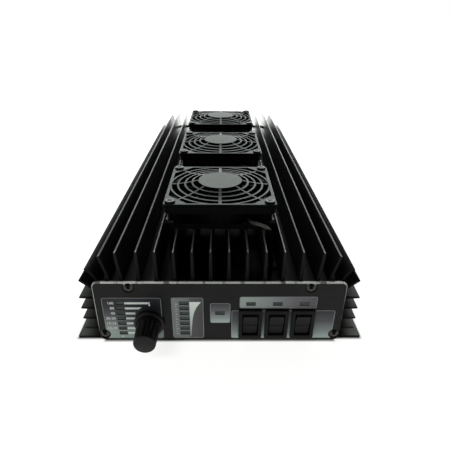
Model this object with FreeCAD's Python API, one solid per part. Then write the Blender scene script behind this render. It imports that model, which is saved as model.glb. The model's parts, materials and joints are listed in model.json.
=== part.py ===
"""HF linear amplifier: finned extrusion with three fans, control panel and radio frequency boards.

Millimetres, +Z up, +X to the right of someone who faces the control panel, which looks along -Y.
The origin is the middle of the base, on the face that it rests on.
"""
import FreeCAD, Part
import math
import os

V = FreeCAD.Vector

# ---------------------------------------------------------------- driving sizes
# Fits
RUN = 0.05            # radial clearance of a shaft that turns in its hole
SLIP = 0.15           # clearance round a fixed piece in its opening
FREE = 0.35           # clearance between pieces that move past each other
THREAD_FIT = 0.03     # radial clearance of a screw in its threaded hole
PAST = 1.0            # how far a cutter runs past the faces that it cuts
EDGE_FOUND = 0.01     # an edge this close to a plane lies in it

# Heatsink extrusion
SINK_LENGTH = 444.0
SINK_PLATE = 8.0      # thickness of the plate that carries the fins
SINK_WALL = 6.0       # thickness of the side walls
FIN_PITCH = 12.3
FIN_HEIGHT = 24.4     # above the plate
FIN_TIP = 1.7
FIN_ROOT = 2.8
FIN_PAIRS = 5         # upright fins each side of the middle
SIDE_FIN_REACH = 10.9
SIDE_FIN_PITCH = 9.1
SIDE_FIN_FIRST = 9.8  # height of the lowest side fin
SIDE_FIN_COUNT = 4
SIDE_FIN_TIP = 1.5
FIN_SUNK = 1.2        # how far a fin's foot reaches into the plate or the wall
# Corner fins, as (reach from the wall's face, height above the plate) of the points they pass
WALL_CORNER = ((-7.5, 0.0), (-2.0, -3.0), (0.0, -8.0))
OUTER_FIN = ((-20.2, -1.2), (-17.7, 23.8))
CORNER_BLADE = ((-10.5, 7.2), (-6.6, 21.2))
CORNER_BLADE_FOOT = ((-12.4, -1.2), (-11.45, 7.6), (-9.55, 7.4), (-7.2, -1.2))
SHOULDER_CURVE = ((-3.6, -3.6), (-2.0, 4.6), (3.7, 11.4))
SHOULDER_FIN = ((-1.8, -6.2), (8.8, 2.2))
CORNER_FIN = 1.9      # thickness of the corner blade at its waist
SHOULDER_CURVE_T = 1.5
SHOULDER_ROOT = 2.4
SHOULDER_TIP = 1.6
BASE_FLANGE_REACH = 16.7
BASE_FLANGE = 2.2
LEDGE_WIDTH = 8.0     # ledge that the bottom cover is screwed to
LEDGE_HEIGHT = 8.0
LEDGE_SLOPE = 3.0     # rise of the ledge's top towards the wall

# Panels and cover
PANEL_WIDTH = 174.4
PANEL_HEIGHT = 51.4
PANEL = 2.5
PANEL_CORNER = 4.0
PANEL_BEVEL = 0.7
PANEL_RISE = 1.8      # panel's top above the plate
PANEL_OVERHANG = 0.2  # panel's side past the wall
PANEL_SCREW_TOP_IN = 24.8   # upper screws from the panel's side
PANEL_SCREW_SIDE_IN = 3.9   # lower screws from the panel's side
PANEL_SCREW_TOP_DROP = 4.2
PANEL_SCREW_LOW_Z = 6.2
COVER = 2.0
COVER_SCREW_ROWS = 4
COVER_SCREW_INSET = 12.0
COVER_SCREW_MARGIN = 0.6  # from the screw's head to the cover's side

# Screws: thread radius, head radius, head height
M3 = 1.5
COUNTERSUNK_HEAD = 3.4
PAN_HEAD = 2.8
PAN_HEAD_HEIGHT = 2.0
PANEL_SCREW_DOME = 0.5
PANEL_SCREW_SUNK = 0.45  # head's rim below the panel's face
PANEL_SCREW_LENGTH = 12.0
PANEL_SCREW_TAP = 15.0
COVER_SCREW_LENGTH = 7.0
CARD_SCREW_BITE = 4.5  # thread of the inner screws in the plate
CARD_SCREW_TAP = 5.0
CROSS_DEPTH = 1.1
CROSS_R = 1.7

# Indicator windows in the front panel
BAND_LED_IN = 17.6    # from the panel's left side
BAND_LED_W = 5.2
POWER_LED_IN = 62.2   # from the panel's left side
POWER_LED_W = 6.0
LED_H = 2.4
LED_ROW_LOW_Z = 7.1
LED_ROW_PITCH = 4.5
LED_ROWS = 7
STATUS_LED_Z = 33.5
STATUS_LED_W = 6.0
STATUS_LED_H = 2.5
WARNING_LED_X = 0.1
WARNING_LED_Z = 25.4
LED_INSET = 0.25      # lens face behind the panel face

# Display board
BOARD = 1.6
DISPLAY_GAP = 8.0     # from the panel's back to the board
DISPLAY_EDGE = 1.0    # from the board to the wall, the plate and the rocker housings
DISPLAY_LOW_GAP = 2.0  # from the bottom cover to the board
DISPLAY_LEDGE_GAP = 0.4
DISPLAY_SWITCH_GAP = 0.5
DISPLAY_SLOT = 16.0   # width of the slot below the band switch
STANDOFF_R = 2.5
STANDOFF_STUD_R = 1.4
STANDOFF_STUD = 4.6   # stud past the panel side of the board
STANDOFF_NUT_FLATS = 5.5
STANDOFF_NUT = 2.2
STANDOFF_MARGIN = 3.0  # from a standoff's middle to the board's edge

# Band switch and knob
KNOB_IN = 37.0        # from the panel's left side
KNOB_Z = 16.6
KNOB_SKIRT_R = 10.9
KNOB_SKIRT = 2.0
KNOB_SKIRT_EDGE = 1.4
KNOB_BASE_R = 8.4
KNOB_FACE_R = 7.6
KNOB_REACH = 21.6     # from the panel's face to the knob's face
KNOB_GAP = 0.8        # from the panel's face to the skirt
KNOB_FLUTES = 12
KNOB_FLUTE_R = 1.5
KNOB_FLUTE_PLACE_R = 9.33
KNOB_FLUTE_START = 3.0  # flutes in front of the skirt
KNOB_RECESS_R = 7.3
KNOB_RECESS = 3.4
KNOB_REST_TURN = 30.0  # pointer, clockwise from straight up
KNOB_EDGE = 1.0
KNOB_WEB = 5.0        # solid plastic between the shaft's end and the knob's face
SET_SCREW_BACK = 5.0  # set screw in front of the skirt
SET_SCREW = 4.0
SET_SCREW_KEY_R = 0.8
SHAFT_R = 3.0
BUSH_R = 4.5
BUSH_NUT_FLATS = 12.0
BUSH_NUT = 2.0
BUSH_REACH = 2.6      # bush in front of the panel
SWITCH_R = 12.5
SWITCH_DEPTH = 16.0
SWITCH_SHELL = 1.4
SWITCH_WALL = 4.0     # front and back wall of the switch
SWITCH_REAR_BORE = 2.0  # from the back of the switch to the bore's end
SHAFT_END_PLAY = 0.6
SWITCH_WASHER = 0.5
SWITCH_ROTOR = 2.0
SWITCH_HUB_R = 5.0
SWITCH_HUB = 5.0
WIPER = (3.0, 1.2, 4.4)
WIPER_R = 7.4
CONTACT_PIN_R = 0.6
CONTACT_PIN = 5.0
CONTACT_CIRCLE_R = 9.5
SWITCH_PINS = 8

# Rocker switches
ROCKER_INS = (65.5, 46.8, 28.1)  # from the panel's right side
ROCKER_Z = 15.9
BEZEL_W = 16.6
BEZEL_H = 26.2
BEZEL = 2.0
HOUSING_W = 14.0
HOUSING_H = 23.4
HOUSING_DEPTH = 19.0
ROCKER_W = 10.2
ROCKER_SIDE_GAP = 0.6  # from the rocker to the sides of its well
ROCKER_R = 9.3
ROCKER_VALLEY = 3.0   # from the pivot out to the valley in the face
ROCKER_BACK = 3.0
ROCKER_FACE_ANGLE = 3.0
ROCKER_REST_TILT = 8.0
PIVOT_R = 1.2
PIVOT_BEHIND_FACE = 1.6
PIVOT_BITE = 0.8      # pivot in the housing's side
BEZEL_CORNER = 1.6
BEZEL_EDGE = 0.8
ROCKER_WELL = 3.2     # room behind the level rocker
CLIP_W = 6.0
CLIP_RISE = 1.0
CLIP_RUN = 5.0
BLADE_TERMINAL = (4.8, 8.0, 0.8)
BLADE_TERMINAL_STEP = 7.0

# Fans and guards
FAN_SIZE = 80.0
FAN_DEPTH = 16.0
FAN_FLANGE = 4.0
FAN_CORNER = 4.0
FAN_WALL = 1.8
FAN_SCREW_INSET = 4.25
FAN_FIRST = 32.4      # from the sink's front end to the first fan
FAN_STEP = 120.2
FAN_HUB_R = 16.6
FAN_CUP_WALL = 1.4
FAN_SPINDLE_R = 1.5
FAN_BEARING_R = 3.6
FAN_BLADES = 7
FAN_BLADE = 1.4
FAN_BLADE_PITCH = 38.0
FAN_STRUTS = 4
FAN_STRUT_W = 5.0
FAN_STRUT = 2.4
FAN_BARREL_INSET = 0.2  # round barrel inside the flanges
FAN_BEARING = 10.5    # height of the bearing post
FAN_TOP_GAP = 0.6     # rotor below the frame's top
FAN_TIP_GAP = 0.9     # blade tips to the duct
FAN_BLADE_CHORD = 20.0
FAN_CUP_EDGE = 0.8
FAN_SPINDLE_FLOOR = 0.8  # closed end of the bearing
FAN_COIL = 7.0
FAN_COIL_GAP = 0.95   # coils to the cup
GUARD = 3.4
GUARD_OVER = 0.6      # guard beyond the fan's frame
GUARD_CORNER = 2.5
GUARD_RIM = 2.4
GUARD_EDGE = 0.8
GUARD_FOOT = 0.6       # bevel under the rim
GUARD_RISE = 3.2      # middle disc above the rim
GUARD_DOME = 1.6      # power of the dome's curve: 1 is a cone, more is a bell
GUARD_GRILLE = 2.2
GUARD_BAR_DROP = 0.3  # rings and spokes below the middle disc's top
GUARD_SUNK = 0.5      # bars in the rim and the disc that carry them
GUARD_DISC_R = 17.2
GUARD_RING_FIRST = 22.0
GUARD_RING_STEP = 5.65
GUARD_RING_W = 1.5
GUARD_LUG = 15.0
GUARD_SPOKE_W = 1.5
GUARD_MAIN_SPOKE_W = 2.2
FAN_SCREW_R = 2.0
FAN_SCREW_HEAD_R = 3.8
FAN_SCREW_HEAD = 1.5
FAN_SCREW_BITE = 6.0  # thread in the sink's plate
FAN_SCREW_TAP = 6.4
FAN_NUT_FLATS = 7.0
FAN_NUT = 2.4
LEAD_R = 1.4
LEAD_CHANNEL = 3      # channel between the fins, from the middle, that the leads go down in
LEAD_AHEAD = 12.0     # lead's hole in front of the fan
LEAD_RISE = 3.0       # lead's middle above the fan's lower flange
LEAD_HOLE_FIT = 0.05
# Lead's route, as (x, distance behind the fan's front, height above its start), then its way down
LEAD_OUT = ((19.0, 4.0, 0.0), (21.6, -3.2, 0.0), (29.0, -5.2, -0.8), (35.6, -7.4, -3.6))
LEAD_DOWN = ((-11.0, -15.0), (-LEAD_AHEAD, -27.0))
GROMMET_R = 3.6
GROMMET_LIP = 0.8
GROMMET_LIP_T = 1.2
GROMMET_FIT = 0.02
GROMMET_BORE_FIT = 0.1
PLUG = (6.0, 5.0, 7.0)
PLUG_GAP = 4.0        # plug below the plate
PLUG_ROOM = 0.6       # opening in the board round a plug

# Rear connectors
SOCKET_IN = 25.2      # from the panel's side
SOCKET_Z = 25.0
SOCKET_FLANGE = 25.4
SOCKET_FLANGE_T = 1.8
SOCKET_HOLES = 18.2
SOCKET_BARREL_R = 7.9
SOCKET_BARREL = 16.0
SOCKET_BORE_R = 6.3
SOCKET_BODY_R = 5.6
SOCKET_BODY = 11.0
CONTACT_R = 3.0
CONTACT_BORE_R = 2.0
CONTACT_BORE = 12.0
CONTACT_BACK = 4.0    # contact behind the socket's body
CONTACT_INSET = 2.0   # contact's end inside the barrel
INSULATOR_WALL = 1.2
INSULATOR_DISC = 4.0
SOCKET_CORNER = 1.5
SOCKET_SCREW = 8.0
JACK_IN = 24.0        # from the input socket
JACK_R = 4.1
JACK_REACH = 9.0
JACK_BORE_R = 1.6
JACK_NECK_R = 3.1
JACK_NECK = 8.0       # neck behind the panel
JACK_NUT_FLATS = 10.0
JACK_NUT = 2.0
TERMINAL_XS = (-12.0, 12.0)
TERMINAL_Z = 25.0
TERMINAL_R = 3.0
TERMINAL_SHANK_R = 3.6  # stud inside its collars
TERMINAL_REACH = 18.0
TERMINAL_COLLAR_R = 7.5
TERMINAL_COLLAR = 4.0
TERMINAL_SLEEVE = 1.5
TERMINAL_INNER = 3.0
TERMINAL_BACK = 12.0  # stud behind the panel
FUSE_INS = (18.0, 28.0)  # from the output socket
FUSE_Z = 25.0
FUSE_HOLDER = (6.0, 14.0, 16.0)
FUSE_LIP = (8.4, 1.8, 20.0)
FUSE_BODY = (3.6, 9.0, 13.6)
FUSE_ROOM = 0.1       # round a fuse in its slot
FUSE_PROUD = 5.0      # fuse in front of the panel
FUSE_PRONG = (0.7, 4.0, 3.0)
FUSE_PRONG_Z = 4.6

# Boards and what they carry
CARD_GAP = 3.0        # from the plate to the boards below it
CARD_SIDE_GAP = 6.0   # from the boards to the walls
CARD_STEP = 12.0      # from one board to the next
FILTER_CARD_IN = 30.0  # filter board from the sink's front end
POWER_CARD = 140.0    # length of the amplifier board
SUPPLY_CARD = 78.0
SUPPLY_CARD_IN = 22.0  # supply board from the sink's rear end
CARD_SCREW_INSET = 5.0
SPACER_R = 3.0
TRANSISTOR_INS = (46.0, 58.0)  # from the amplifier board's front edge
TRANSISTOR_X = 24.0
TRANSISTOR_FLANGE = (24.8, 9.8, 3.0)
TRANSISTOR_CAP = (11.0, 9.2, 3.6)
TRANSISTOR_HOLE_INSET = 3.2
TRANSISTOR_ROOM = 0.4  # opening in the board round a transistor
INPUT_CORE = (18.0, 14.0, 9.0)
INPUT_CORE_IN = 17.0  # from the amplifier board's front edge
INPUT_BORE_X = 4.6
INPUT_BORE_R = 2.6
INPUT_WIRE_R = 2.4
INPUT_LOOP = (14.0, 1.6, 4.6)
INPUT_LOOP_REACH = 2.4
OUTPUT_TUBE_R = 12.0
OUTPUT_TUBE_BORE = 5.2
OUTPUT_TUBE = 32.0
OUTPUT_TUBE_X = 13.0
OUTPUT_IN = 108.0     # from the amplifier board's front edge
OUTPUT_DROP = 13.0    # middle of the tubes below the board
OUTPUT_SLEEVE_R = 5.0
OUTPUT_SLEEVE_BORE = 4.2
OUTPUT_SLEEVE = 36.8
OUTPUT_PLATE = (52.0, 1.6)
OUTPUT_PLATE_LOW = 12.6
FILTER_ROW = 22.5     # least length of a row of filter parts
FILTER_MARGIN = 6.0
TOROID_INS = (29.0, 45.0)  # from the board's left edge
TOROID_R = 7.0
TOROID_BORE = 3.6
TOROID_T = 6.0
FILTER_RELAY = (10.0, 21.0, 16.0)
FILTER_RELAY_INS = (14.0, 91.0)
ANTENNA_RELAY = (22.0, 24.0, 20.0)
ANTENNA_RELAY_XS = (16.0, 44.0)
ANTENNA_RELAY_IN = 34.0  # from the supply board's front edge
DISC_CAP_R = 4.0
DISC_CAP = 3.0
DISC_CAP_INS = (57.0, 69.0)
CAN_CAP_R = 8.0
CAN_CAP_H = 25.0
CAN_CAP_XS = (-40.0, -20.0)
CAN_CAP_IN = 16.0

# ---------------------------------------------------------------- sizes that follow
SINK_FRONT = -SINK_LENGTH / 2
SINK_REAR = SINK_LENGTH / 2
FACE_Y = SINK_FRONT - PANEL
REAR_Y = SINK_REAR + PANEL
PLATE_TOP = PANEL_HEIGHT - PANEL_RISE
PLATE_UNDER = PLATE_TOP - SINK_PLATE
FIN_TOP = PLATE_TOP + FIN_HEIGHT
WALL_X = PANEL_WIDTH / 2 - PANEL_OVERHANG
INNER_X = WALL_X - SINK_WALL
LEDGE_X = INNER_X - LEDGE_WIDTH
COVER_X = INNER_X - 2 * SLIP
COVER_SCREW_X = COVER_X - COUNTERSUNK_HEAD - COVER_SCREW_MARGIN
PIVOT_Y = FACE_Y + PIVOT_BEHIND_FACE
FAN_YS = tuple(SINK_FRONT + FAN_FIRST + FAN_SIZE / 2 + n * FAN_STEP for n in range(3))
FAN_HOLE = FAN_SIZE / 2 - FAN_SCREW_INSET
FAN_TOP = FIN_TOP + FAN_DEPTH
GUARD_TOP = FAN_TOP + GUARD
DOME_TOP = GUARD_TOP + GUARD_RISE
DUCT_R = FAN_SIZE / 2 - FAN_WALL
CARD_TOP = PLATE_UNDER - CARD_GAP
CARD_UNDER = CARD_TOP - BOARD
DISPLAY_Y = FACE_Y + PANEL + DISPLAY_GAP
LED_ZS = tuple(LED_ROW_LOW_Z + n * LED_ROW_PITCH for n in range(LED_ROWS))
FAN_NAMES = ("front", "middle", "rear")
ROCKER_NAMES = ("left", "middle", "right")
SINK_SCREW_HOLE = M3 + THREAD_FIT
PANEL_SCREW_TOP_X = PANEL_WIDTH / 2 - PANEL_SCREW_TOP_IN
PANEL_SCREW_SIDE_X = PANEL_WIDTH / 2 - PANEL_SCREW_SIDE_IN
BAND_LED_X = -PANEL_WIDTH / 2 + BAND_LED_IN
POWER_LED_X = -PANEL_WIDTH / 2 + POWER_LED_IN
KNOB_X = -PANEL_WIDTH / 2 + KNOB_IN
ROCKER_XS = tuple(PANEL_WIDTH / 2 - place for place in ROCKER_INS)
SOCKET_X = PANEL_WIDTH / 2 - SOCKET_IN
JACK_X = SOCKET_X - JACK_IN
FUSE_XS = tuple(-SOCKET_X + place for place in FUSE_INS)
SUPPLY_CARD_Y = (SINK_REAR - SUPPLY_CARD_IN - SUPPLY_CARD, SINK_REAR - SUPPLY_CARD_IN)
POWER_CARD_Y = (SUPPLY_CARD_Y[0] - CARD_STEP - POWER_CARD, SUPPLY_CARD_Y[0] - CARD_STEP)
FILTER_CARD_Y = (SINK_FRONT + FILTER_CARD_IN, POWER_CARD_Y[0] - CARD_STEP)
CARD_SPANS = (FILTER_CARD_Y, POWER_CARD_Y, SUPPLY_CARD_Y)
CARD_WIDTH = 2 * (INNER_X - CARD_SIDE_GAP)
TOROID_XS = tuple(-CARD_WIDTH / 2 + place for place in TOROID_INS)
FILTER_RELAY_XS = tuple(-CARD_WIDTH / 2 + place for place in FILTER_RELAY_INS)
DISC_CAP_XS = tuple(-CARD_WIDTH / 2 + place for place in DISC_CAP_INS)
TRANSISTOR_YS = tuple(POWER_CARD_Y[0] + place for place in TRANSISTOR_INS)
INPUT_CORE_Y = POWER_CARD_Y[0] + INPUT_CORE_IN
OUTPUT_Y = POWER_CARD_Y[0] + OUTPUT_IN
SIDES = (-1, 1)


# ---------------------------------------------------------------- small tools
def save(node, *solids):
    """Write the solids of one node to its STEP file."""
    found = []
    for shape in solids:
        found.extend(shape.Solids)
    shape = found[0] if len(found) == 1 else Part.makeCompound(found)
    shape.exportStep("parts/" + node + ".step")


def block(x, y, z):
    """A box between pairs of X, Y and Z values."""
    return Part.makeBox(x[1] - x[0], y[1] - y[0], z[1] - z[0], V(x[0], y[0], z[0]))


def rod(radius, start, along):
    """A cylinder from a start point along a vector."""
    start = V(*start)
    along = V(*along)
    return Part.makeCylinder(radius, along.Length, start, along)


def tube(outer, inner, start, along):
    return rod(outer, start, along).cut(rod(inner, start, along))


def joined(shapes):
    """Fuse shapes into one and merge the faces that lie in one surface."""
    first = shapes[0]
    if len(shapes) == 1:
        return first
    return first.multiFuse(shapes[1:]).removeSplitter()


def drill_y(radius, x, z, y0, y1):
    """A round cutter along Y, through all between y0 and y1."""
    return rod(radius, (x, y0 - PAST, z), (0, y1 - y0 + 2 * PAST, 0))


def drill_z(radius, x, y, z0, z1):
    """A round cutter along Z, through all between z0 and z1."""
    return rod(radius, (x, y, z0 - PAST), (0, 0, z1 - z0 + 2 * PAST))


def around(x, size_x):
    """The pair of values that lie half a size each side of x."""
    return x - size_x / 2, x + size_x / 2


def xz_prism(points, y0, y1):
    """A polygon of (x, z) points, extruded from y0 to y1."""
    outline = [V(x, y0, z) for x, z in points]
    outline.append(outline[0])
    return Part.Face(Part.makePolygon(outline)).extrude(V(0, y1 - y0, 0))


def yz_prism(points, x0, x1):
    """A polygon of (y, z) points, extruded from x0 to x1."""
    outline = [V(x0, y, z) for y, z in points]
    outline.append(outline[0])
    return Part.Face(Part.makePolygon(outline)).extrude(V(x1 - x0, 0, 0))


def round_plate(width, height, thickness, corner, centre, axis):
    """A plate with round corners. It grows along axis from its centre; axis is "y" or "z"."""
    plate = Part.makeBox(width, height, thickness, V(-width / 2, -height / 2, 0))
    upright = [e for e in plate.Edges if abs(e.tangentAt(e.FirstParameter).z) > 0.9]
    plate = plate.makeFillet(corner, upright)
    if axis == "y":
        plate.rotate(V(0, 0, 0), V(1, 0, 0), 90)
        plate.translate(V(0, thickness, 0))
    plate.translate(V(*centre))
    return plate


def mirrored_x(shape):
    return shape.mirror(V(0, 0, 0), V(1, 0, 0))


def cross_recess(point, out, radius, depth):
    """Two crossed bars that sink into a screw head at point; out is the head's outward axis."""
    bars = []
    for turn in (45, 135):
        bar = Part.makeBox(2 * radius, 0.3 * radius, depth, V(-radius, -0.15 * radius, -depth))
        bar.rotate(V(0, 0, 0), V(0, 0, 1), turn)
        bars.append(bar)
    cut = joined(bars)
    turn = FreeCAD.Rotation(V(0, 0, 1), V(*out))
    cut.Placement = FreeCAD.Placement(V(*point), turn)
    return cut


def countersunk_screw(point, out, length, dome=0.0):
    """A countersunk screw whose head's rim lies flush at point; a dome makes the head rise."""
    up = V(0, 0, 1)
    neck = COUNTERSUNK_HEAD - M3
    screw = Part.makeCone(M3, COUNTERSUNK_HEAD, neck, V(0, 0, -neck), up)
    screw = screw.fuse(Part.makeCylinder(M3, length - neck, V(0, 0, -length), up))
    if dome > 0:
        ball_r = (COUNTERSUNK_HEAD ** 2 + dome ** 2) / (2 * dome)
        ball = Part.makeSphere(ball_r, V(0, 0, dome - ball_r))
        screw = screw.fuse(ball.common(Part.makeCylinder(COUNTERSUNK_HEAD, dome, V(0, 0, 0), up)))
    screw = screw.removeSplitter()
    screw.Placement = FreeCAD.Placement(V(*point), FreeCAD.Rotation(up, V(*out)))
    top = V(*point) + V(*out) * dome
    return screw.cut(cross_recess(top, out, CROSS_R, CROSS_DEPTH + dome))


def countersink(point, out, depth, sunk=0.0):
    """The hole for a countersunk screw, through a plate of the given depth; sunk lets the head in deeper."""
    point = V(*point)
    out = V(*out)
    cone_depth = COUNTERSUNK_HEAD - M3 + sunk
    mouth = COUNTERSUNK_HEAD + SLIP + sunk
    cone = Part.makeCone(mouth, M3 + SLIP, cone_depth, point, out * -1)
    shank = Part.makeCylinder(M3 + SLIP, depth + PAST, point, out * -1)
    return cone.fuse(shank)


def pan_screw(point, out, length, head=PAN_HEAD, height=PAN_HEAD_HEIGHT, thread=M3):
    """A pan-head screw; the head's underside is at point."""
    base = V(*point)
    out = V(*out)
    cap = Part.makeCylinder(head, height, base, out)
    rim = [e for e in cap.Edges if (e.CenterOfMass - base).dot(out) > height * 0.9]
    cap = cap.makeFillet(height * 0.45, rim)
    shank = Part.makeCylinder(thread, length, base, out * -1)
    top = base + out * height
    return cap.fuse(shank).cut(cross_recess(top, out, head * 0.62, height * 0.55))


def hex_ring(flats, thickness, bore, base, axis):
    """A hexagon nut."""
    corner = flats / math.sqrt(3)
    turns = [math.radians(60 * n) for n in range(7)]
    points = [V(corner * math.cos(turn), corner * math.sin(turn), 0) for turn in turns]
    nut = Part.Face(Part.makePolygon(points)).extrude(V(0, 0, thickness))
    nut = nut.cut(Part.makeCylinder(bore, thickness, V(0, 0, 0), V(0, 0, 1)))
    nut.Placement = FreeCAD.Placement(V(*base), FreeCAD.Rotation(V(0, 0, 1), V(*axis)))
    return nut


# ---------------------------------------------------------------- heatsink
def straight_fin(root, tip, root_t, tip_t):
    """A tapered fin with a round tip, drawn in the XZ plane and extruded along the sink."""
    root = V(root[0], SINK_FRONT, root[1])
    tip = V(tip[0], SINK_FRONT, tip[1])
    along = (tip - root).normalize()
    side = V(along.z, 0, -along.x)
    shoulder = tip - along * (tip_t / 2)
    right_low = root + side * (root_t / 2)
    right_top = shoulder + side * (tip_t / 2)
    left_top = shoulder - side * (tip_t / 2)
    left_low = root - side * (root_t / 2)
    edges = [
        Part.LineSegment(right_low, right_top).toShape(),
        Part.Arc(right_top, tip, left_top).toShape(),
        Part.LineSegment(left_top, left_low).toShape(),
        Part.LineSegment(left_low, right_low).toShape(),
    ]
    return Part.Face(Part.Wire(edges)).extrude(V(0, SINK_LENGTH, 0))


def curved_fin(root, middle, tip, thickness):
    """A fin of even thickness whose middle line is an arc through three (x, z) points."""
    centre = Part.Circle(V(root[0], 0, root[1]), V(middle[0], 0, middle[1]), V(tip[0], 0, tip[1])).Center
    sides = []
    for offset in (-thickness / 2, thickness / 2):
        points = []
        for x, z in (root, middle, tip):
            ray = V(x, 0, z) - centre
            points.append(centre + ray * ((ray.Length + offset) / ray.Length) + V(0, SINK_FRONT, 0))
        sides.append(points)
    inner, outer = sides
    edges = [
        Part.Arc(*inner).toShape(),
        Part.LineSegment(inner[2], outer[2]).toShape(),
        Part.Arc(*outer).toShape(),
        Part.LineSegment(outer[0], inner[0]).toShape(),
    ]
    return Part.Face(Part.Wire(Part.__sortEdges__(edges))).extrude(V(0, SINK_LENGTH, 0))


def from_corner(points):
    """(x, z) of points that are given from the wall's face and the plate's top."""
    return [(WALL_X + dx, PLATE_TOP + dz) for dx, dz in points]


def sink_side():
    """Wall, ledge, base flange and fins of the right side."""
    ledge_top = COVER + LEDGE_HEIGHT
    flange_x = WALL_X + BASE_FLANGE_REACH
    outline = [(0, PLATE_TOP)] + from_corner(WALL_CORNER)
    outline += [
        (WALL_X, BASE_FLANGE), (flange_x, BASE_FLANGE), (flange_x, 0), (INNER_X, 0), (INNER_X, COVER),
        (LEDGE_X, COVER), (LEDGE_X, ledge_top), (INNER_X, ledge_top + LEDGE_SLOPE), (INNER_X, PLATE_UNDER),
        (0, PLATE_UNDER),
    ]
    shapes = [xz_prism(outline, SINK_FRONT, SINK_REAR)]
    for n in range(FIN_PAIRS):
        x = (n + 0.5) * FIN_PITCH
        shapes.append(straight_fin((x, PLATE_TOP - FIN_SUNK), (x, FIN_TOP), FIN_ROOT, FIN_TIP))
    shapes.append(straight_fin(*from_corner(OUTER_FIN), FIN_ROOT, FIN_TIP))
    # A splayed foot carries the leaning blade at the corner
    shapes.append(xz_prism(from_corner(CORNER_BLADE_FOOT), SINK_FRONT, SINK_REAR))
    shapes.append(straight_fin(*from_corner(CORNER_BLADE), CORNER_FIN, FIN_TIP))
    # The shoulder fins fan out between the top and the side
    shapes.append(curved_fin(*from_corner(SHOULDER_CURVE), SHOULDER_CURVE_T))
    shapes.append(straight_fin(*from_corner(SHOULDER_FIN), SHOULDER_ROOT, SHOULDER_TIP))
    for n in range(SIDE_FIN_COUNT):
        z = SIDE_FIN_FIRST + n * SIDE_FIN_PITCH
        root = (WALL_X - FIN_SUNK, z)
        shapes.append(straight_fin(root, (WALL_X + SIDE_FIN_REACH, z), FIN_ROOT, SIDE_FIN_TIP))
    return joined(shapes)


def panel_screw_places():
    """(x, z) of the four screws of a panel."""
    top_z = PANEL_HEIGHT - PANEL_SCREW_TOP_DROP
    return [(-PANEL_SCREW_TOP_X, top_z), (PANEL_SCREW_TOP_X, top_z),
            (-PANEL_SCREW_SIDE_X, PANEL_SCREW_LOW_Z), (PANEL_SCREW_SIDE_X, PANEL_SCREW_LOW_Z)]


def cover_screw_places():
    """(x, y) of the bottom cover's screws."""
    first = SINK_FRONT + COVER_SCREW_INSET
    step = (SINK_LENGTH - 2 * COVER_SCREW_INSET) / (COVER_SCREW_ROWS - 1)
    return [(side * COVER_SCREW_X, first + n * step) for side in SIDES for n in range(COVER_SCREW_ROWS)]


def fan_corners(fan_y):
    """(x, y) of one fan's four screws."""
    return [(sx * FAN_HOLE, fan_y + sy * FAN_HOLE) for sx in SIDES for sy in SIDES]


def fan_screw_places():
    """(x, y) of the screws of all three fans."""
    return [place for y in FAN_YS for place in fan_corners(y)]


def lead_place(fan_y):
    """(x, y) where a fan's lead goes down through the plate."""
    return LEAD_CHANNEL * FIN_PITCH, fan_y - FAN_SIZE / 2 - LEAD_AHEAD


def card_screw_places():
    """(x, y) of the spacers of the three boards."""
    x = CARD_WIDTH / 2 - CARD_SCREW_INSET
    places = []
    for y0, y1 in CARD_SPANS:
        places += [(sx * x, y) for sx in SIDES for y in (y0 + CARD_SCREW_INSET, y1 - CARD_SCREW_INSET)]
    return places


def build_heatsink():
    right = sink_side()
    sink = joined([right, mirrored_x(right)])
    holes = []
    for x, z in panel_screw_places():
        holes.append(rod(SINK_SCREW_HOLE, (x, SINK_FRONT, z), (0, PANEL_SCREW_TAP, 0)))
        holes.append(rod(SINK_SCREW_HOLE, (x, SINK_REAR, z), (0, -PANEL_SCREW_TAP, 0)))
    for x, y in cover_screw_places():
        holes.append(rod(SINK_SCREW_HOLE, (x, y, COVER), (0, 0, COVER_SCREW_LENGTH)))
    for x, y in fan_screw_places():
        holes.append(rod(FAN_SCREW_R + THREAD_FIT, (x, y, PLATE_TOP), (0, 0, -FAN_SCREW_TAP)))
        holes.append(rod(FAN_SCREW_R + SLIP, (x, y, PLATE_TOP), (0, 0, FIN_HEIGHT)))
    for x, y in map(lead_place, FAN_YS):
        holes.append(rod(GROMMET_R, (x, y, PLATE_UNDER), (0, 0, SINK_PLATE)))
    for x, y in card_screw_places() + transistor_screw_places():
        holes.append(rod(SINK_SCREW_HOLE, (x, y, PLATE_UNDER), (0, 0, CARD_SCREW_TAP)))
    save("heatsink", sink.cut(Part.makeCompound(holes)))


# ---------------------------------------------------------------- panels and cover
def plain_panel(face_y, back_y):
    """A panel with round corners and a bevel round its outer face."""
    low = min(face_y, back_y)
    panel = round_plate(PANEL_WIDTH, PANEL_HEIGHT, PANEL, PANEL_CORNER, (0, low, PANEL_HEIGHT / 2), "y")
    outer = [e for e in panel.Edges if abs(e.CenterOfMass.y - face_y) < EDGE_FOUND]
    return panel.makeChamfer(PANEL_BEVEL, outer)


def led_windows():
    """(x, z, width, height) of each indicator window, in three groups."""
    band = [(BAND_LED_X, z, BAND_LED_W, LED_H) for z in LED_ZS]
    power = [(POWER_LED_X, z, POWER_LED_W, LED_H) for z in LED_ZS]
    status = [(x, STATUS_LED_Z, STATUS_LED_W, STATUS_LED_H) for x in ROCKER_XS]
    status.append((WARNING_LED_X, WARNING_LED_Z, STATUS_LED_W, STATUS_LED_H))
    return band, power, status


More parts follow.
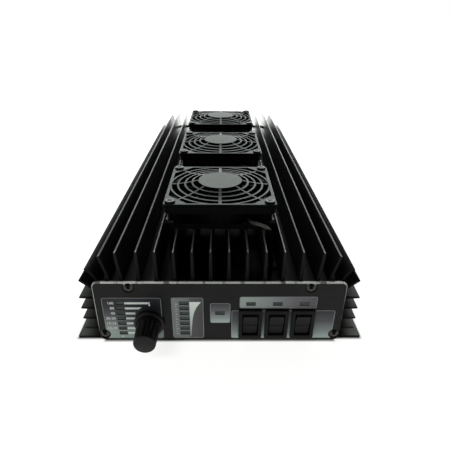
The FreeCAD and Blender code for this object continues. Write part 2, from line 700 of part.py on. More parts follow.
def build_front_panel():
    panel = plain_panel(FACE_Y, SINK_FRONT)
    through = (FACE_Y - PAST, SINK_FRONT + PAST)
    cuts = [countersink((x, FACE_Y, z), (0, -1, 0), PANEL, PANEL_SCREW_SUNK) for x, z in panel_screw_places()]
    for group in led_windows():
        for x, z, w, h in group:
            cuts.append(block(around(x, w + 2 * SLIP), through, around(z, h + 2 * SLIP)))
    for x in ROCKER_XS:
        cuts.append(block(around(x, HOUSING_W + 2 * SLIP), through, around(ROCKER_Z, HOUSING_H + 2 * SLIP)))
    cuts.append(drill_y(BUSH_R + SLIP, KNOB_X, KNOB_Z, FACE_Y, SINK_FRONT))
    save("front_panel", panel.cut(Part.makeCompound(cuts)))
    screws = []
    for y, out in ((FACE_Y, -1), (REAR_Y, 1)):
        for x, z in panel_screw_places():
            place = (x, y - out * PANEL_SCREW_SUNK, z)
            screws.append(countersunk_screw(place, (0, out, 0), PANEL_SCREW_LENGTH, PANEL_SCREW_DOME))
    save("panel_screws", *screws)


def socket_hole_places(x):
    """(x, z) of a coaxial socket's four screws."""
    half = SOCKET_HOLES / 2
    return [(x + sx * half, SOCKET_Z + sz * half) for sx in SIDES for sz in SIDES]


def build_rear_panel():
    panel = plain_panel(REAR_Y, SINK_REAR)
    cuts = [countersink((x, REAR_Y, z), (0, 1, 0), PANEL, PANEL_SCREW_SUNK) for x, z in panel_screw_places()]
    for x in (-SOCKET_X, SOCKET_X):
        cuts.append(drill_y(SOCKET_BODY_R + SLIP, x, SOCKET_Z, SINK_REAR, REAR_Y))
        cuts += [drill_y(M3 + SLIP, hx, hz, SINK_REAR, REAR_Y) for hx, hz in socket_hole_places(x)]
    cuts.append(drill_y(JACK_NECK_R + SLIP, JACK_X, SOCKET_Z, SINK_REAR, REAR_Y))
    for x in TERMINAL_XS:
        cuts.append(drill_y(TERMINAL_SHANK_R + TERMINAL_SLEEVE + SLIP, x, TERMINAL_Z, SINK_REAR, REAR_Y))
    through = (SINK_REAR - PAST, REAR_Y + PAST)
    for x in FUSE_XS:
        width = FUSE_HOLDER[0] + 2 * SLIP
        height = FUSE_HOLDER[2] + 2 * SLIP
        cuts.append(block(around(x, width), through, around(FUSE_Z, height)))
    save("rear_panel", panel.cut(Part.makeCompound(cuts)))


def build_bottom_cover():
    cover = block((-COVER_X, COVER_X), (SINK_FRONT + SLIP, SINK_REAR - SLIP), (0, COVER))
    cuts = [countersink((x, y, 0), (0, 0, -1), COVER) for x, y in cover_screw_places()]
    save("bottom_cover", cover.cut(Part.makeCompound(cuts)))
    screws = [countersunk_screw((x, y, 0), (0, 0, -1), COVER_SCREW_LENGTH) for x, y in cover_screw_places()]
    save("bottom_cover_screws", *screws)


# ---------------------------------------------------------------- display
def display_outline(left, low, right, top):
    """(x, z) of the display board, notched round the ledge and stepped over the rocker housings."""
    notch_x = -LEDGE_X + DISPLAY_LEDGE_GAP
    notch_z = COVER + LEDGE_HEIGHT + LEDGE_SLOPE + DISPLAY_EDGE
    step_x = ROCKER_XS[0] - HOUSING_W / 2 - DISPLAY_EDGE
    step_z = ROCKER_Z + HOUSING_H / 2 + CLIP_RISE + DISPLAY_EDGE
    return [(notch_x, low), (step_x, low), (step_x, step_z), (right, step_z), (right, top), (left, top),
            (left, notch_z), (notch_x, notch_z)]


def build_display():
    for node, group in zip(("band_leds", "power_leds", "status_leds"), led_windows()):
        depth = (FACE_Y + LED_INSET, DISPLAY_Y)
        save(node, *[block(around(x, w), depth, around(z, h)) for x, z, w, h in group])
    left = -INNER_X + DISPLAY_EDGE
    low = COVER + DISPLAY_LOW_GAP
    right = ROCKER_XS[-1] + HOUSING_W / 2 + DISPLAY_EDGE + STANDOFF_MARGIN
    top = PLATE_UNDER - DISPLAY_EDGE
    back_y = DISPLAY_Y + BOARD
    board = xz_prism(display_outline(left, low, right, top), DISPLAY_Y, back_y)
    cuts = [drill_y(SWITCH_R + DISPLAY_SWITCH_GAP, KNOB_X, KNOB_Z, DISPLAY_Y, back_y)]
    cuts.append(block(around(KNOB_X, DISPLAY_SLOT), (DISPLAY_Y - PAST, back_y + PAST), (low - PAST, KNOB_Z)))
    # Standoffs: two at the top, one between the windows and the switch, one beside the rockers
    low_z = low + STANDOFF_MARGIN
    high_z = top - STANDOFF_MARGIN - DISPLAY_EDGE
    reach = SWITCH_R + STANDOFF_R + DISPLAY_EDGE
    beside_switch = KNOB_X - math.sqrt(reach ** 2 - (KNOB_Z - low_z) ** 2)
    beside_rockers = ROCKER_XS[0] - HOUSING_W / 2 - STANDOFF_R - 2 * DISPLAY_EDGE
    places = [(left + STANDOFF_MARGIN + DISPLAY_EDGE, high_z), (beside_switch, low_z),
              (beside_rockers, low_z), (right - STANDOFF_MARGIN, high_z)]
    cuts += [drill_y(M3 + SLIP, x, z, DISPLAY_Y, back_y) for x, z in places]
    save("display_board", board.cut(joined(cuts)))
    standoffs = []
    for x, z in places:
        post = rod(STANDOFF_R, (x, SINK_FRONT, z), (0, DISPLAY_GAP, 0))
        standoffs.append(post.fuse(rod(STANDOFF_STUD_R, (x, DISPLAY_Y, z), (0, STANDOFF_STUD, 0))))
        bore = STANDOFF_STUD_R + THREAD_FIT
        standoffs.append(hex_ring(STANDOFF_NUT_FLATS, STANDOFF_NUT, bore, (x, back_y, z), (0, 1, 0)))
    save("display_standoffs", *standoffs)


# ---------------------------------------------------------------- band switch and knob
def build_band_switch():
    bush_y = FACE_Y - BUSH_REACH
    chamber_y = SINK_FRONT + SWITCH_WALL
    back_y = SINK_FRONT + SWITCH_DEPTH
    bore_end = back_y - SWITCH_REAR_BORE
    body = rod(SWITCH_R, (KNOB_X, SINK_FRONT, KNOB_Z), (0, SWITCH_DEPTH, 0))
    body = body.fuse(rod(BUSH_R, (KNOB_X, bush_y, KNOB_Z), (0, SINK_FRONT - bush_y, 0))).removeSplitter()
    chamber_r = SWITCH_R - SWITCH_SHELL
    body = body.cut(rod(chamber_r, (KNOB_X, chamber_y, KNOB_Z), (0, SWITCH_DEPTH - 2 * SWITCH_WALL, 0)))
    body = body.cut(rod(SHAFT_R + RUN, (KNOB_X, bush_y, KNOB_Z), (0, bore_end - bush_y, 0)))
    save("band_switch_body", body)
    washer = tube(BUSH_R + BUSH_NUT, BUSH_R + THREAD_FIT, (KNOB_X, FACE_Y, KNOB_Z), (0, -SWITCH_WASHER, 0))
    nut_place = (KNOB_X, FACE_Y - SWITCH_WASHER, KNOB_Z)
    nut = hex_ring(BUSH_NUT_FLATS, BUSH_NUT, BUSH_R + THREAD_FIT, nut_place, (0, -1, 0))
    save("band_switch_nut", washer, nut)
    # The shaft runs from inside the knob to the switch's rear bearing
    tip_y = FACE_Y - KNOB_REACH + KNOB_WEB
    shaft_length = bore_end - SHAFT_END_PLAY - tip_y
    save("band_switch_shaft", rod(SHAFT_R, (KNOB_X, tip_y, KNOB_Z), (0, shaft_length, 0)))
    rotor_y = chamber_y + FREE
    rotor = rod(chamber_r - PAST, (KNOB_X, rotor_y, KNOB_Z), (0, SWITCH_ROTOR, 0))
    rotor = rotor.fuse(rod(SWITCH_HUB_R, (KNOB_X, rotor_y, KNOB_Z), (0, SWITCH_HUB, 0))).removeSplitter()
    wiper_y = rotor_y + SWITCH_ROTOR
    wiper = block(around(KNOB_X, WIPER[0]), (wiper_y, wiper_y + WIPER[1]), around(KNOB_Z + WIPER_R, WIPER[2]))
    rotor = rotor.fuse(wiper).cut(drill_y(SHAFT_R, KNOB_X, KNOB_Z, rotor_y, rotor_y + SWITCH_HUB))
    save("band_switch_rotor", rotor)


def knob_flutes(skirt_y, face_y):
    """The cutters of the grip's flutes, which lean with its taper."""
    length = skirt_y - face_y
    lean = math.degrees(math.atan2(KNOB_BASE_R - KNOB_FACE_R, length))
    start_y = skirt_y - KNOB_FLUTE_START
    flutes = []
    for n in range(KNOB_FLUTES):
        flute = Part.makeCylinder(KNOB_FLUTE_R, length + PAST, V(0, 0, 0), V(0, -1, 0))
        flute.rotate(V(0, 0, 0), V(1, 0, 0), -lean)
        flute.translate(V(KNOB_X, start_y, KNOB_Z + KNOB_FLUTE_PLACE_R))
        flute.rotate(V(KNOB_X, 0, KNOB_Z), V(0, 1, 0), n * 360.0 / KNOB_FLUTES)
        flutes.append(flute)
    return flutes


def build_knob():
    back_y = FACE_Y - KNOB_GAP
    skirt_y = back_y - KNOB_SKIRT
    face_y = FACE_Y - KNOB_REACH
    out = V(0, -1, 0)
    centre = V(KNOB_X, back_y, KNOB_Z)
    skirt = Part.makeCylinder(KNOB_SKIRT_R, KNOB_SKIRT, centre, out)
    rim = [e for e in skirt.Edges if abs(e.CenterOfMass.y - skirt_y) < EDGE_FOUND]
    skirt = skirt.makeFillet(KNOB_SKIRT_EDGE, rim)
    body = Part.makeCone(KNOB_BASE_R, KNOB_FACE_R, skirt_y - face_y, V(KNOB_X, skirt_y, KNOB_Z), out)
    rim = [e for e in body.Edges if abs(e.CenterOfMass.y - face_y) < EDGE_FOUND]
    body = body.makeFillet(KNOB_EDGE, rim).cut(Part.makeCompound(knob_flutes(skirt_y, face_y)))
    recess = Part.makeCylinder(KNOB_RECESS_R, KNOB_RECESS, centre, out)
    bore = Part.makeCylinder(SHAFT_R, KNOB_REACH - KNOB_GAP - KNOB_WEB, centre, out)
    screw_y = skirt_y - SET_SCREW_BACK
    screw_hole = rod(M3, (KNOB_X, screw_y, KNOB_Z), (0, 0, -KNOB_BASE_R))
    knob = skirt.fuse(body).cut(Part.makeCompound([recess, bore, screw_hole]))
    set_screw = rod(M3 - THREAD_FIT, (KNOB_X, screw_y, KNOB_Z - SHAFT_R), (0, 0, -SET_SCREW))
    key = rod(SET_SCREW_KEY_R, (KNOB_X, screw_y, KNOB_Z - SHAFT_R - SET_SCREW), (0, 0, SET_SCREW / 2))
    for piece, node in ((knob, "band_knob"), (set_screw.cut(key), "knob_set_screw")):
        piece.rotate(V(KNOB_X, 0, KNOB_Z), V(0, 1, 0), KNOB_REST_TURN)
        save(node, piece)


# ---------------------------------------------------------------- rocker switches
def rocker_housing(x):
    """Bezel and housing with the rocker's well, its pivot's bores and two panel clips."""
    bezel_y = FACE_Y - BEZEL
    bezel = round_plate(BEZEL_W, BEZEL_H, BEZEL, BEZEL_CORNER, (x, bezel_y, ROCKER_Z), "y")
    outer = [e for e in bezel.Edges if abs(e.CenterOfMass.y - bezel_y) < EDGE_FOUND]
    bezel = bezel.makeFillet(BEZEL_EDGE, outer)
    body = block(around(x, HOUSING_W), (FACE_Y, FACE_Y + HOUSING_DEPTH), around(ROCKER_Z, HOUSING_H))
    well_w = ROCKER_W + 2 * ROCKER_SIDE_GAP
    floor_y = PIVOT_Y + ROCKER_BACK + ROCKER_WELL
    well = block(around(x, well_w), (bezel_y - PAST, floor_y), around(ROCKER_Z, 2 * (ROCKER_R + FREE)))
    pivot_half = well_w / 2 + PIVOT_BITE + SLIP
    pivot = rod(PIVOT_R + RUN, (x - pivot_half, PIVOT_Y, ROCKER_Z), (2 * pivot_half, 0, 0))
    clips = []
    clip_y = SINK_FRONT + SLIP
    for side in SIDES:
        z = ROCKER_Z + side * HOUSING_H / 2
        points = [(clip_y, z), (clip_y, z + side * CLIP_RISE), (clip_y + CLIP_RUN, z)]
        clips.append(yz_prism(points, *around(x, CLIP_W)))
    return joined([bezel, body] + clips).cut(well).cut(pivot)


def rocker(x):
    """A rocker drawn level, then tilted to its resting side."""
    slope = math.tan(math.radians(ROCKER_FACE_ANGLE))
    valley = PIVOT_Y - ROCKER_VALLEY
    back = PIVOT_Y + ROCKER_BACK
    reach = ROCKER_R + PAST
    crest = valley - reach * slope
    points = [(back, ROCKER_Z - reach), (crest, ROCKER_Z - reach), (valley, ROCKER_Z),
              (crest, ROCKER_Z + reach), (back, ROCKER_Z + reach)]
    slab = yz_prism(points, *around(x, ROCKER_W))
    drum = rod(ROCKER_R, (x - ROCKER_W / 2, PIVOT_Y, ROCKER_Z), (ROCKER_W, 0, 0))
    pin_half = ROCKER_W / 2 + ROCKER_SIDE_GAP + PIVOT_BITE
    pin = rod(PIVOT_R, (x - pin_half, PIVOT_Y, ROCKER_Z), (2 * pin_half, 0, 0))
    shape = slab.common(drum).fuse(pin).removeSplitter()
    shape.rotate(V(x, PIVOT_Y, ROCKER_Z), V(1, 0, 0), ROCKER_REST_TILT)
    return shape


def build_rockers():
    terminals = []
    blade_w, blade_reach, blade_t = BLADE_TERMINAL
    back = FACE_Y + HOUSING_DEPTH
    for x, name in zip(ROCKER_XS, ROCKER_NAMES):
        save("rocker_housing_" + name, rocker_housing(x))
        save("rocker_" + name, rocker(x))
        for n in (-1, 0, 1):
            z = ROCKER_Z + n * BLADE_TERMINAL_STEP
            terminals.append(block(around(x, blade_w), (back, back + blade_reach), around(z, blade_t)))
    for n in range(SWITCH_PINS):
        turn = math.radians(n * 360.0 / SWITCH_PINS)
        x = KNOB_X + CONTACT_CIRCLE_R * math.sin(turn)
        z = KNOB_Z + CONTACT_CIRCLE_R * math.cos(turn)
        terminals.append(rod(CONTACT_PIN_R, (x, SINK_FRONT + SWITCH_DEPTH, z), (0, CONTACT_PIN, 0)))
    save("switch_terminals", *terminals)


# ---------------------------------------------------------------- fans
def fan_frame(y):
    """Frame with its duct, four struts, the motor's plate and the bearing post."""
    plates = []
    for z in (FIN_TOP, FAN_TOP - FAN_FLANGE):
        plates.append(round_plate(FAN_SIZE, FAN_SIZE, FAN_FLANGE, FAN_CORNER, (0, y, z), "z"))
    plates.append(rod(FAN_SIZE / 2 - FAN_BARREL_INSET, (0, y, FIN_TOP), (0, 0, FAN_DEPTH)))
    shell = joined(plates).cut(drill_z(DUCT_R, 0, y, FIN_TOP, FAN_TOP))
    holes = [drill_z(FAN_SCREW_R + SLIP, hx, hy, FIN_TOP, FAN_TOP) for hx, hy in fan_corners(y)]
    shell = shell.cut(Part.makeCompound(holes))
    pieces = [shell, rod(FAN_HUB_R, (0, y, FIN_TOP), (0, 0, FAN_STRUT))]
    for n in range(FAN_STRUTS):
        strut = block((0, DUCT_R + FAN_WALL / 2), around(y, FAN_STRUT_W), (FIN_TOP, FIN_TOP + FAN_STRUT))
        strut.rotate(V(0, y, 0), V(0, 0, 1), (n + 0.5) * 360.0 / FAN_STRUTS)
        pieces.append(strut)
    pieces.append(rod(FAN_BEARING_R, (0, y, FIN_TOP), (0, 0, FAN_BEARING)))
    start, ahead = lead_route(y)[:2]
    run = V(*ahead) - V(*start)
    lead_hole = rod(LEAD_R + LEAD_HOLE_FIT, tuple(V(*start) - run / 2), tuple(run * 1.5))
    bearing_hole = rod(FAN_SPINDLE_R + RUN, (0, y, FIN_TOP + FAN_SPINDLE_FLOOR), (0, 0, FAN_DEPTH))
    return joined(pieces).cut(lead_hole).cut(bearing_hole)


def fan_rotor(y):
    """Cup and blades, with the spindle that turns in the bearing post."""
    low = FIN_TOP + FAN_STRUT + FREE
    top = FAN_TOP - FAN_TOP_GAP
    cup = rod(FAN_HUB_R, (0, y, low), (0, 0, top - low))
    rim = [e for e in cup.Edges if abs(e.CenterOfMass.z - top) < EDGE_FOUND]
    cup = cup.makeFillet(FAN_CUP_EDGE, rim)
    roof = top - FAN_CUP_WALL
    cup = cup.cut(rod(FAN_HUB_R - FAN_CUP_WALL, (0, y, low - PAST), (0, 0, roof - low + PAST)))
    foot = FIN_TOP + FAN_SPINDLE_FLOOR + FREE
    spindle = rod(FAN_SPINDLE_R, (0, y, foot), (0, 0, roof + FAN_CUP_WALL / 2 - foot))
    zone_height = top - low - 2 * FREE
    zone = tube(DUCT_R - FAN_TIP_GAP, FAN_HUB_R - FAN_CUP_WALL / 2, (0, y, low + FREE), (0, 0, zone_height))
    blades = []
    for n in range(FAN_BLADES):
        blade = Part.makeBox(DUCT_R, FAN_BLADE_CHORD, FAN_BLADE, V(0, -FAN_BLADE_CHORD / 2, -FAN_BLADE / 2))
        blade.rotate(V(0, 0, 0), V(1, 0, 0), FAN_BLADE_PITCH)
        blade.translate(V(0, y, (low + top) / 2))
        blade.rotate(V(0, y, 0), V(0, 0, 1), n * 360.0 / FAN_BLADES)
        blades.append(blade.common(zone))
    return joined([cup, spindle] + blades)


def guard_lug(y, inner, sx, sy):
    """The triangular lug in one corner of a guard; inner is half the opening."""
    side = inner + GUARD_SUNK
    leg = inner - GUARD_LUG
    points = [V(sx * side, y + sy * side, FAN_TOP), V(sx * leg, y + sy * side, FAN_TOP),
              V(sx * side, y + sy * leg, FAN_TOP)]
    points.append(points[0])
    return Part.Face(Part.makePolygon(points)).extrude(V(0, 0, GUARD))


def guard_dome(y, inner, ring_radii):
    """The bell-shaped shell, open in the middle, that the rings and spokes are cut from."""
    def level(radius, drop):
        share = min(max((inner - radius) / (inner - GUARD_DISC_R), 0.0), 1.0)
        return V(radius, 0, GUARD_TOP - drop + GUARD_RISE * share ** GUARD_DOME)

    radii = [GUARD_DISC_R - GUARD_SUNK, GUARD_DISC_R] + [r for r in ring_radii if r < inner]
    radii += [inner, (inner + GUARD_RIM) * math.sqrt(2)]
    top = [level(radius, GUARD_BAR_DROP) for radius in radii]
    under = [level(radius, GUARD_GRILLE) for radius in reversed(radii)]
    shell = Part.Face(Part.makePolygon(top + under + top[:1])).revolve(V(0, 0, 0), V(0, 0, 1), 360)
    shell.translate(V(0, y, 0))
    return shell


def fan_guard(y):
    """Square rim with corner lugs, and a domed grille of rings and spokes round a disc."""
    size = FAN_SIZE + 2 * GUARD_OVER
    rim = round_plate(size, size, GUARD, GUARD_CORNER, (0, y, FAN_TOP), "z")
    rim = rim.makeFillet(GUARD_EDGE, [e for e in rim.Edges if abs(e.CenterOfMass.z - GUARD_TOP) < EDGE_FOUND])
    rim = rim.makeChamfer(GUARD_FOOT, [e for e in rim.Edges if abs(e.CenterOfMass.z - FAN_TOP) < EDGE_FOUND])
    inner = size / 2 - GUARD_RIM
    rim = rim.cut(block((-inner, inner), (y - inner, y + inner), (FAN_TOP - PAST, GUARD_TOP + PAST)))
    rings = int((inner + GUARD_RING_W - GUARD_RING_FIRST) / GUARD_RING_STEP) + 1
    ring_radii = [GUARD_RING_FIRST + n * GUARD_RING_STEP for n in range(rings)]
    height = GUARD + GUARD_RISE
    bars = [tube(radius + GUARD_RING_W / 2, radius - GUARD_RING_W / 2, (0, y, FAN_TOP), (0, 0, height))
            for radius in ring_radii]
    to_side = inner + GUARD_SUNK
    to_lug = (inner - GUARD_LUG / 2) * math.sqrt(2) + GUARD_SUNK
    for n in range(8):
        width = GUARD_MAIN_SPOKE_W if n in (2, 6) else GUARD_SPOKE_W
        reach = to_side if n % 2 == 0 else to_lug
        spoke = block((GUARD_DISC_R - GUARD_SUNK, reach), around(y, width), (FAN_TOP, FAN_TOP + height))
        spoke.rotate(V(0, y, 0), V(0, 0, 1), n * 45)
        bars.append(spoke)
    grille = joined(bars).common(guard_dome(y, inner, ring_radii))
    disc = rod(GUARD_DISC_R, (0, y, DOME_TOP - GUARD_GRILLE), (0, 0, GUARD_GRILLE))
    lugs = [guard_lug(y, inner, sx, sy) for sx in SIDES for sy in SIDES]
    holes = [drill_z(FAN_SCREW_R + SLIP, hx, hy, FAN_TOP, GUARD_TOP) for hx, hy in fan_corners(y)]
    return joined([rim, grille, disc] + lugs).cut(Part.makeCompound(holes))


def path_wire(points):
    """Straight runs joined by tangent arcs. Returns the wire and the radius of each arc."""
    points = [V(*p) for p in points]
    edges = []
    radii = []
    at = points[0]
    for before, corner, after in zip(points, points[1:], points[2:]):
        back = before - corner
        ahead = after - corner
        run = 0.45 * min(back.Length, ahead.Length)
        turn = math.pi - back.getAngle(ahead)
        radii.append(round(run / math.tan(turn / 2), 2))
        start = corner + back.normalize() * run
        end = corner + ahead.normalize() * run
        bisector = (back + ahead).normalize()
        radius = run / math.tan(turn / 2)
        centre = corner + bisector * (radius / math.cos(turn / 2))
        middle = centre - bisector * radius
        edges.append(Part.LineSegment(at, start).toShape())
        edges.append(Part.Arc(start, middle, end).toShape())
        at = end
    edges.append(Part.LineSegment(at, points[-1]).toShape())
    return Part.Wire(edges), radii


def lead_route(fan_y):
    """The points of one fan's lead, from the fan's side to its plug under the plate."""
    x, y = lead_place(fan_y)
    fan_front = fan_y - FAN_SIZE / 2
    z = FIN_TOP + FAN_FLANGE + LEAD_RISE
    route = [(px, fan_front + py, z + pz) for px, py, pz in LEAD_OUT]
    route += [(x, fan_front + py, z + pz) for py, pz in LEAD_DOWN]
    return route + [(x, y, PLATE_UNDER - PLUG_GAP)]


def fan_lead(y):
    """One fan's lead: a tube along its route."""
    route = lead_route(y)
    wire, radii = path_wire(route)
    start = V(*route[0])
    circle = Part.Wire(Part.makeCircle(LEAD_R, start, V(*route[1]) - start))
    lead = wire.makePipeShell([circle], True, True)
    straight_volume = math.pi * LEAD_R ** 2 * wire.Length
    print("fan lead: arc radii", radii, "length", round(wire.Length, 1),
          "volume", round(lead.Volume, 1), "section x length", round(straight_volume, 1))
    return lead


def build_fans():
    coil_r = FAN_HUB_R - FAN_CUP_WALL - FAN_COIL_GAP
    coils = [tube(coil_r, FAN_BEARING_R, (0, y, FIN_TOP + FAN_STRUT), (0, 0, FAN_COIL)) for y in FAN_YS]
    save("fan_stators", *coils)
    grommets = []
    plugs = []
    for y, name in zip(FAN_YS, FAN_NAMES):
        save("fan_frame_" + name, fan_frame(y))
        save("fan_rotor_" + name, fan_rotor(y))
        save("fan_guard_" + name, fan_guard(y))
        save("fan_lead_" + name, fan_lead(y))
        x, hole_y = lead_place(y)
        bore = LEAD_R + GROMMET_BORE_FIT
        ring = tube(GROMMET_R - GROMMET_FIT, bore, (x, hole_y, PLATE_UNDER), (0, 0, SINK_PLATE))
        lip = tube(GROMMET_R + GROMMET_LIP, bore, (x, hole_y, PLATE_TOP), (0, 0, GROMMET_LIP_T))
        grommets.append(ring.fuse(lip).removeSplitter())
        plug_top = PLATE_UNDER - PLUG_GAP
        plugs.append(block(around(x, PLUG[0]), around(hole_y, PLUG[1]), (plug_top - PLUG[2], plug_top)))
    save("fan_lead_grommets", *grommets)
    save("fan_lead_plugs", *plugs)
    screws = []
    nuts = []
    length = GUARD_TOP - PLATE_TOP + FAN_SCREW_BITE
    head = (FAN_SCREW_HEAD_R, FAN_SCREW_HEAD, FAN_SCREW_R)
    for x, y in fan_screw_places():
        screws.append(pan_screw((x, y, GUARD_TOP), (0, 0, 1), length, *head))
        nut_place = (x, y, FIN_TOP + FAN_FLANGE)
        nuts.append(hex_ring(FAN_NUT_FLATS, FAN_NUT, FAN_SCREW_R + THREAD_FIT, nut_place, (0, 0, 1)))
    save("fan_screws", *screws)
    save("fan_nuts", *nuts)


# ---------------------------------------------------------------- rear connectors
def coax_socket(x):
    """Chassis socket: flange, threaded barrel and body, with an insulated centre contact."""
    start_y = REAR_Y + SOCKET_FLANGE_T
    end_y = start_y + SOCKET_BARREL
    back_y = REAR_Y - PANEL - SOCKET_BODY
    insulator_r = CONTACT_R + INSULATOR_WALL
    flange_place = (x, REAR_Y, SOCKET_Z)
    flange = round_plate(SOCKET_FLANGE, SOCKET_FLANGE, SOCKET_FLANGE_T, SOCKET_CORNER, flange_place, "y")
    barrel = rod(SOCKET_BARREL_R, (x, REAR_Y, SOCKET_Z), (0, end_y - REAR_Y, 0))
    body = rod(SOCKET_BODY_R, (x, back_y, SOCKET_Z), (0, REAR_Y - back_y, 0))
    cuts = [rod(SOCKET_BORE_R, (x, start_y, SOCKET_Z), (0, SOCKET_BARREL + PAST, 0))]
    cuts.append(drill_y(insulator_r, x, SOCKET_Z, back_y, start_y))
    cuts += [drill_y(M3 + SLIP, hx, hz, REAR_Y, start_y) for hx, hz in socket_hole_places(x)]
    shell = joined([flange, barrel, body]).cut(Part.makeCompound(cuts))
    sleeve = tube(insulator_r, CONTACT_R, (x, back_y, SOCKET_Z), (0, start_y - back_y, 0))
    disc = tube(SOCKET_BORE_R, CONTACT_R, (x, start_y, SOCKET_Z), (0, INSULATOR_DISC, 0))
    contact_y = back_y - CONTACT_BACK
    contact_end = end_y - CONTACT_INSET
    contact = rod(CONTACT_R, (x, contact_y, SOCKET_Z), (0, contact_end - contact_y, 0))
    bore = rod(CONTACT_BORE_R, (x, contact_end - CONTACT_BORE, SOCKET_Z), (0, CONTACT_BORE + PAST, 0))
    return shell, joined([sleeve, disc]), contact.cut(bore)


def supply_terminal(x):
    """A stud, and the insulating collars that clamp it in the panel."""
    back_y = SINK_REAR - TERMINAL_BACK
    shank_end = REAR_Y + TERMINAL_COLLAR
    bore = TERMINAL_SHANK_R
    shank = rod(TERMINAL_SHANK_R, (x, back_y, TERMINAL_Z), (0, shank_end - back_y, 0))
    stud = rod(TERMINAL_R, (x, shank_end, TERMINAL_Z), (0, TERMINAL_REACH - TERMINAL_COLLAR, 0))
    outer = tube(TERMINAL_COLLAR_R, bore, (x, REAR_Y, TERMINAL_Z), (0, TERMINAL_COLLAR, 0))
    sleeve = tube(bore + TERMINAL_SLEEVE, bore, (x, SINK_REAR, TERMINAL_Z), (0, PANEL, 0))
    inner = tube(TERMINAL_COLLAR_R, bore, (x, SINK_REAR, TERMINAL_Z), (0, -TERMINAL_INNER, 0))
    return joined([shank, stud]), joined([outer, sleeve, inner])


def relay_jack():
    """A phono jack's shell and the nut behind the panel."""
    barrel = rod(JACK_R, (JACK_X, REAR_Y, SOCKET_Z), (0, JACK_REACH, 0))
    neck = rod(JACK_NECK_R, (JACK_X, REAR_Y, SOCKET_Z), (0, -PANEL - JACK_NECK, 0))
    bore = rod(JACK_BORE_R, (JACK_X, REAR_Y, SOCKET_Z), (0, JACK_REACH + PAST, 0))
    jack = joined([barrel, neck]).cut(bore)
    nut_place = (JACK_X, SINK_REAR - JACK_NUT, SOCKET_Z)
    return jack, hex_ring(JACK_NUT_FLATS, JACK_NUT, JACK_NECK_R + THREAD_FIT, nut_place, (0, 1, 0))


def fuse_and_holder(x):
    """A blade fuse in its slotted holder."""
    width, depth, height = FUSE_HOLDER
    body = block(around(x, width), (SINK_REAR - depth, REAR_Y), around(FUSE_Z, height))
    lip = block(around(x, FUSE_LIP[0]), (REAR_Y, REAR_Y + FUSE_LIP[1]), around(FUSE_Z, FUSE_LIP[2]))
    fuse_w, fuse_depth, fuse_height = FUSE_BODY
    prong_w, prong_depth, prong_height = FUSE_PRONG
    fuse_y = REAR_Y + FUSE_PROUD - fuse_depth
    room = 2 * FUSE_ROOM
    slot = block(around(x, fuse_w + room), (fuse_y - prong_depth, REAR_Y + FUSE_LIP[1] + PAST),
                 around(FUSE_Z, fuse_height + room))
    pieces = [block(around(x, fuse_w), (fuse_y, fuse_y + fuse_depth), around(FUSE_Z, fuse_height))]
    for side in SIDES:
        z = around(FUSE_Z + side * FUSE_PRONG_Z, prong_height)
        pieces.append(block(around(x, prong_w), (fuse_y - prong_depth, fuse_y), z))
    return joined(pieces), joined([body, lip]).cut(slot)


def build_rear_connectors():
    insulators = []
    contacts = []
    screws = []
    for x, name in ((-SOCKET_X, "output"), (SOCKET_X, "input")):
        shell, insulator, contact = coax_socket(x)
        save("rf_" + name + "_socket", shell)
        insulators.append(insulator)
        contacts.append(contact)
        for hx, hz in socket_hole_places(x):
            screws.append(pan_screw((hx, REAR_Y + SOCKET_FLANGE_T, hz), (0, 1, 0), SOCKET_SCREW))
    for x in TERMINAL_XS:
        stud, collar = supply_terminal(x)
        contacts.append(stud)
        insulators.append(collar)
    save("rear_insulators", *insulators)
    save("rear_contacts", *contacts)
    save("socket_screws", *screws)
    save("relay_jack", *relay_jack())
    fuses, holders = zip(*map(fuse_and_holder, FUSE_XS))
    save("fuse_holders", *holders)
    save("blade_fuses", *fuses)


# ---------------------------------------------------------------- boards and parts inside
def transistor_places():
    """(x, y) of the four power transistors."""
    return [(side * TRANSISTOR_X, y) for side in SIDES for y in TRANSISTOR_YS]


def transistor_screw_places():
    """(x, y) of the screws of the power transistors."""
    reach = TRANSISTOR_FLANGE[0] / 2 - TRANSISTOR_HOLE_INSET
    return [(x + side * reach, y) for x, y in transistor_places() for side in SIDES]


def build_boards():
    through = (CARD_UNDER - PAST, CARD_TOP + PAST)
    cuts = [drill_z(M3 + SLIP, x, y, CARD_UNDER, CARD_TOP) for x, y in card_screw_places()]
    width, depth = (size + 2 * TRANSISTOR_ROOM for size in TRANSISTOR_FLANGE[:2])
    for x, y in transistor_places():
        cuts.append(block(around(x, width), around(y, depth), through))
    room = 2 * PLUG_ROOM
    for x, y in map(lead_place, FAN_YS):
        cuts.append(block(around(x, PLUG[0] + room), around(y, PLUG[1] + room), through))
    cut = Part.makeCompound(cuts)
    for span, node in zip(CARD_SPANS, ("filter_board", "amplifier_board", "supply_board")):
        save(node, block(around(0, CARD_WIDTH), span, (CARD_UNDER, CARD_TOP)).cut(cut))
    spacers = [tube(SPACER_R, M3 + SLIP, (x, y, CARD_TOP), (0, 0, CARD_GAP)) for x, y in card_screw_places()]
    save("board_spacers", *spacers)
    down = (0, 0, -1)
    length = BOARD + CARD_GAP + CARD_SCREW_BITE
    screws = [pan_screw((x, y, CARD_UNDER), down, length) for x, y in card_screw_places()]
    thick = TRANSISTOR_FLANGE[2]
    for x, y in transistor_screw_places():
        screws.append(pan_screw((x, y, PLATE_UNDER - thick), down, thick + CARD_SCREW_BITE))
    save("board_screws", *screws)


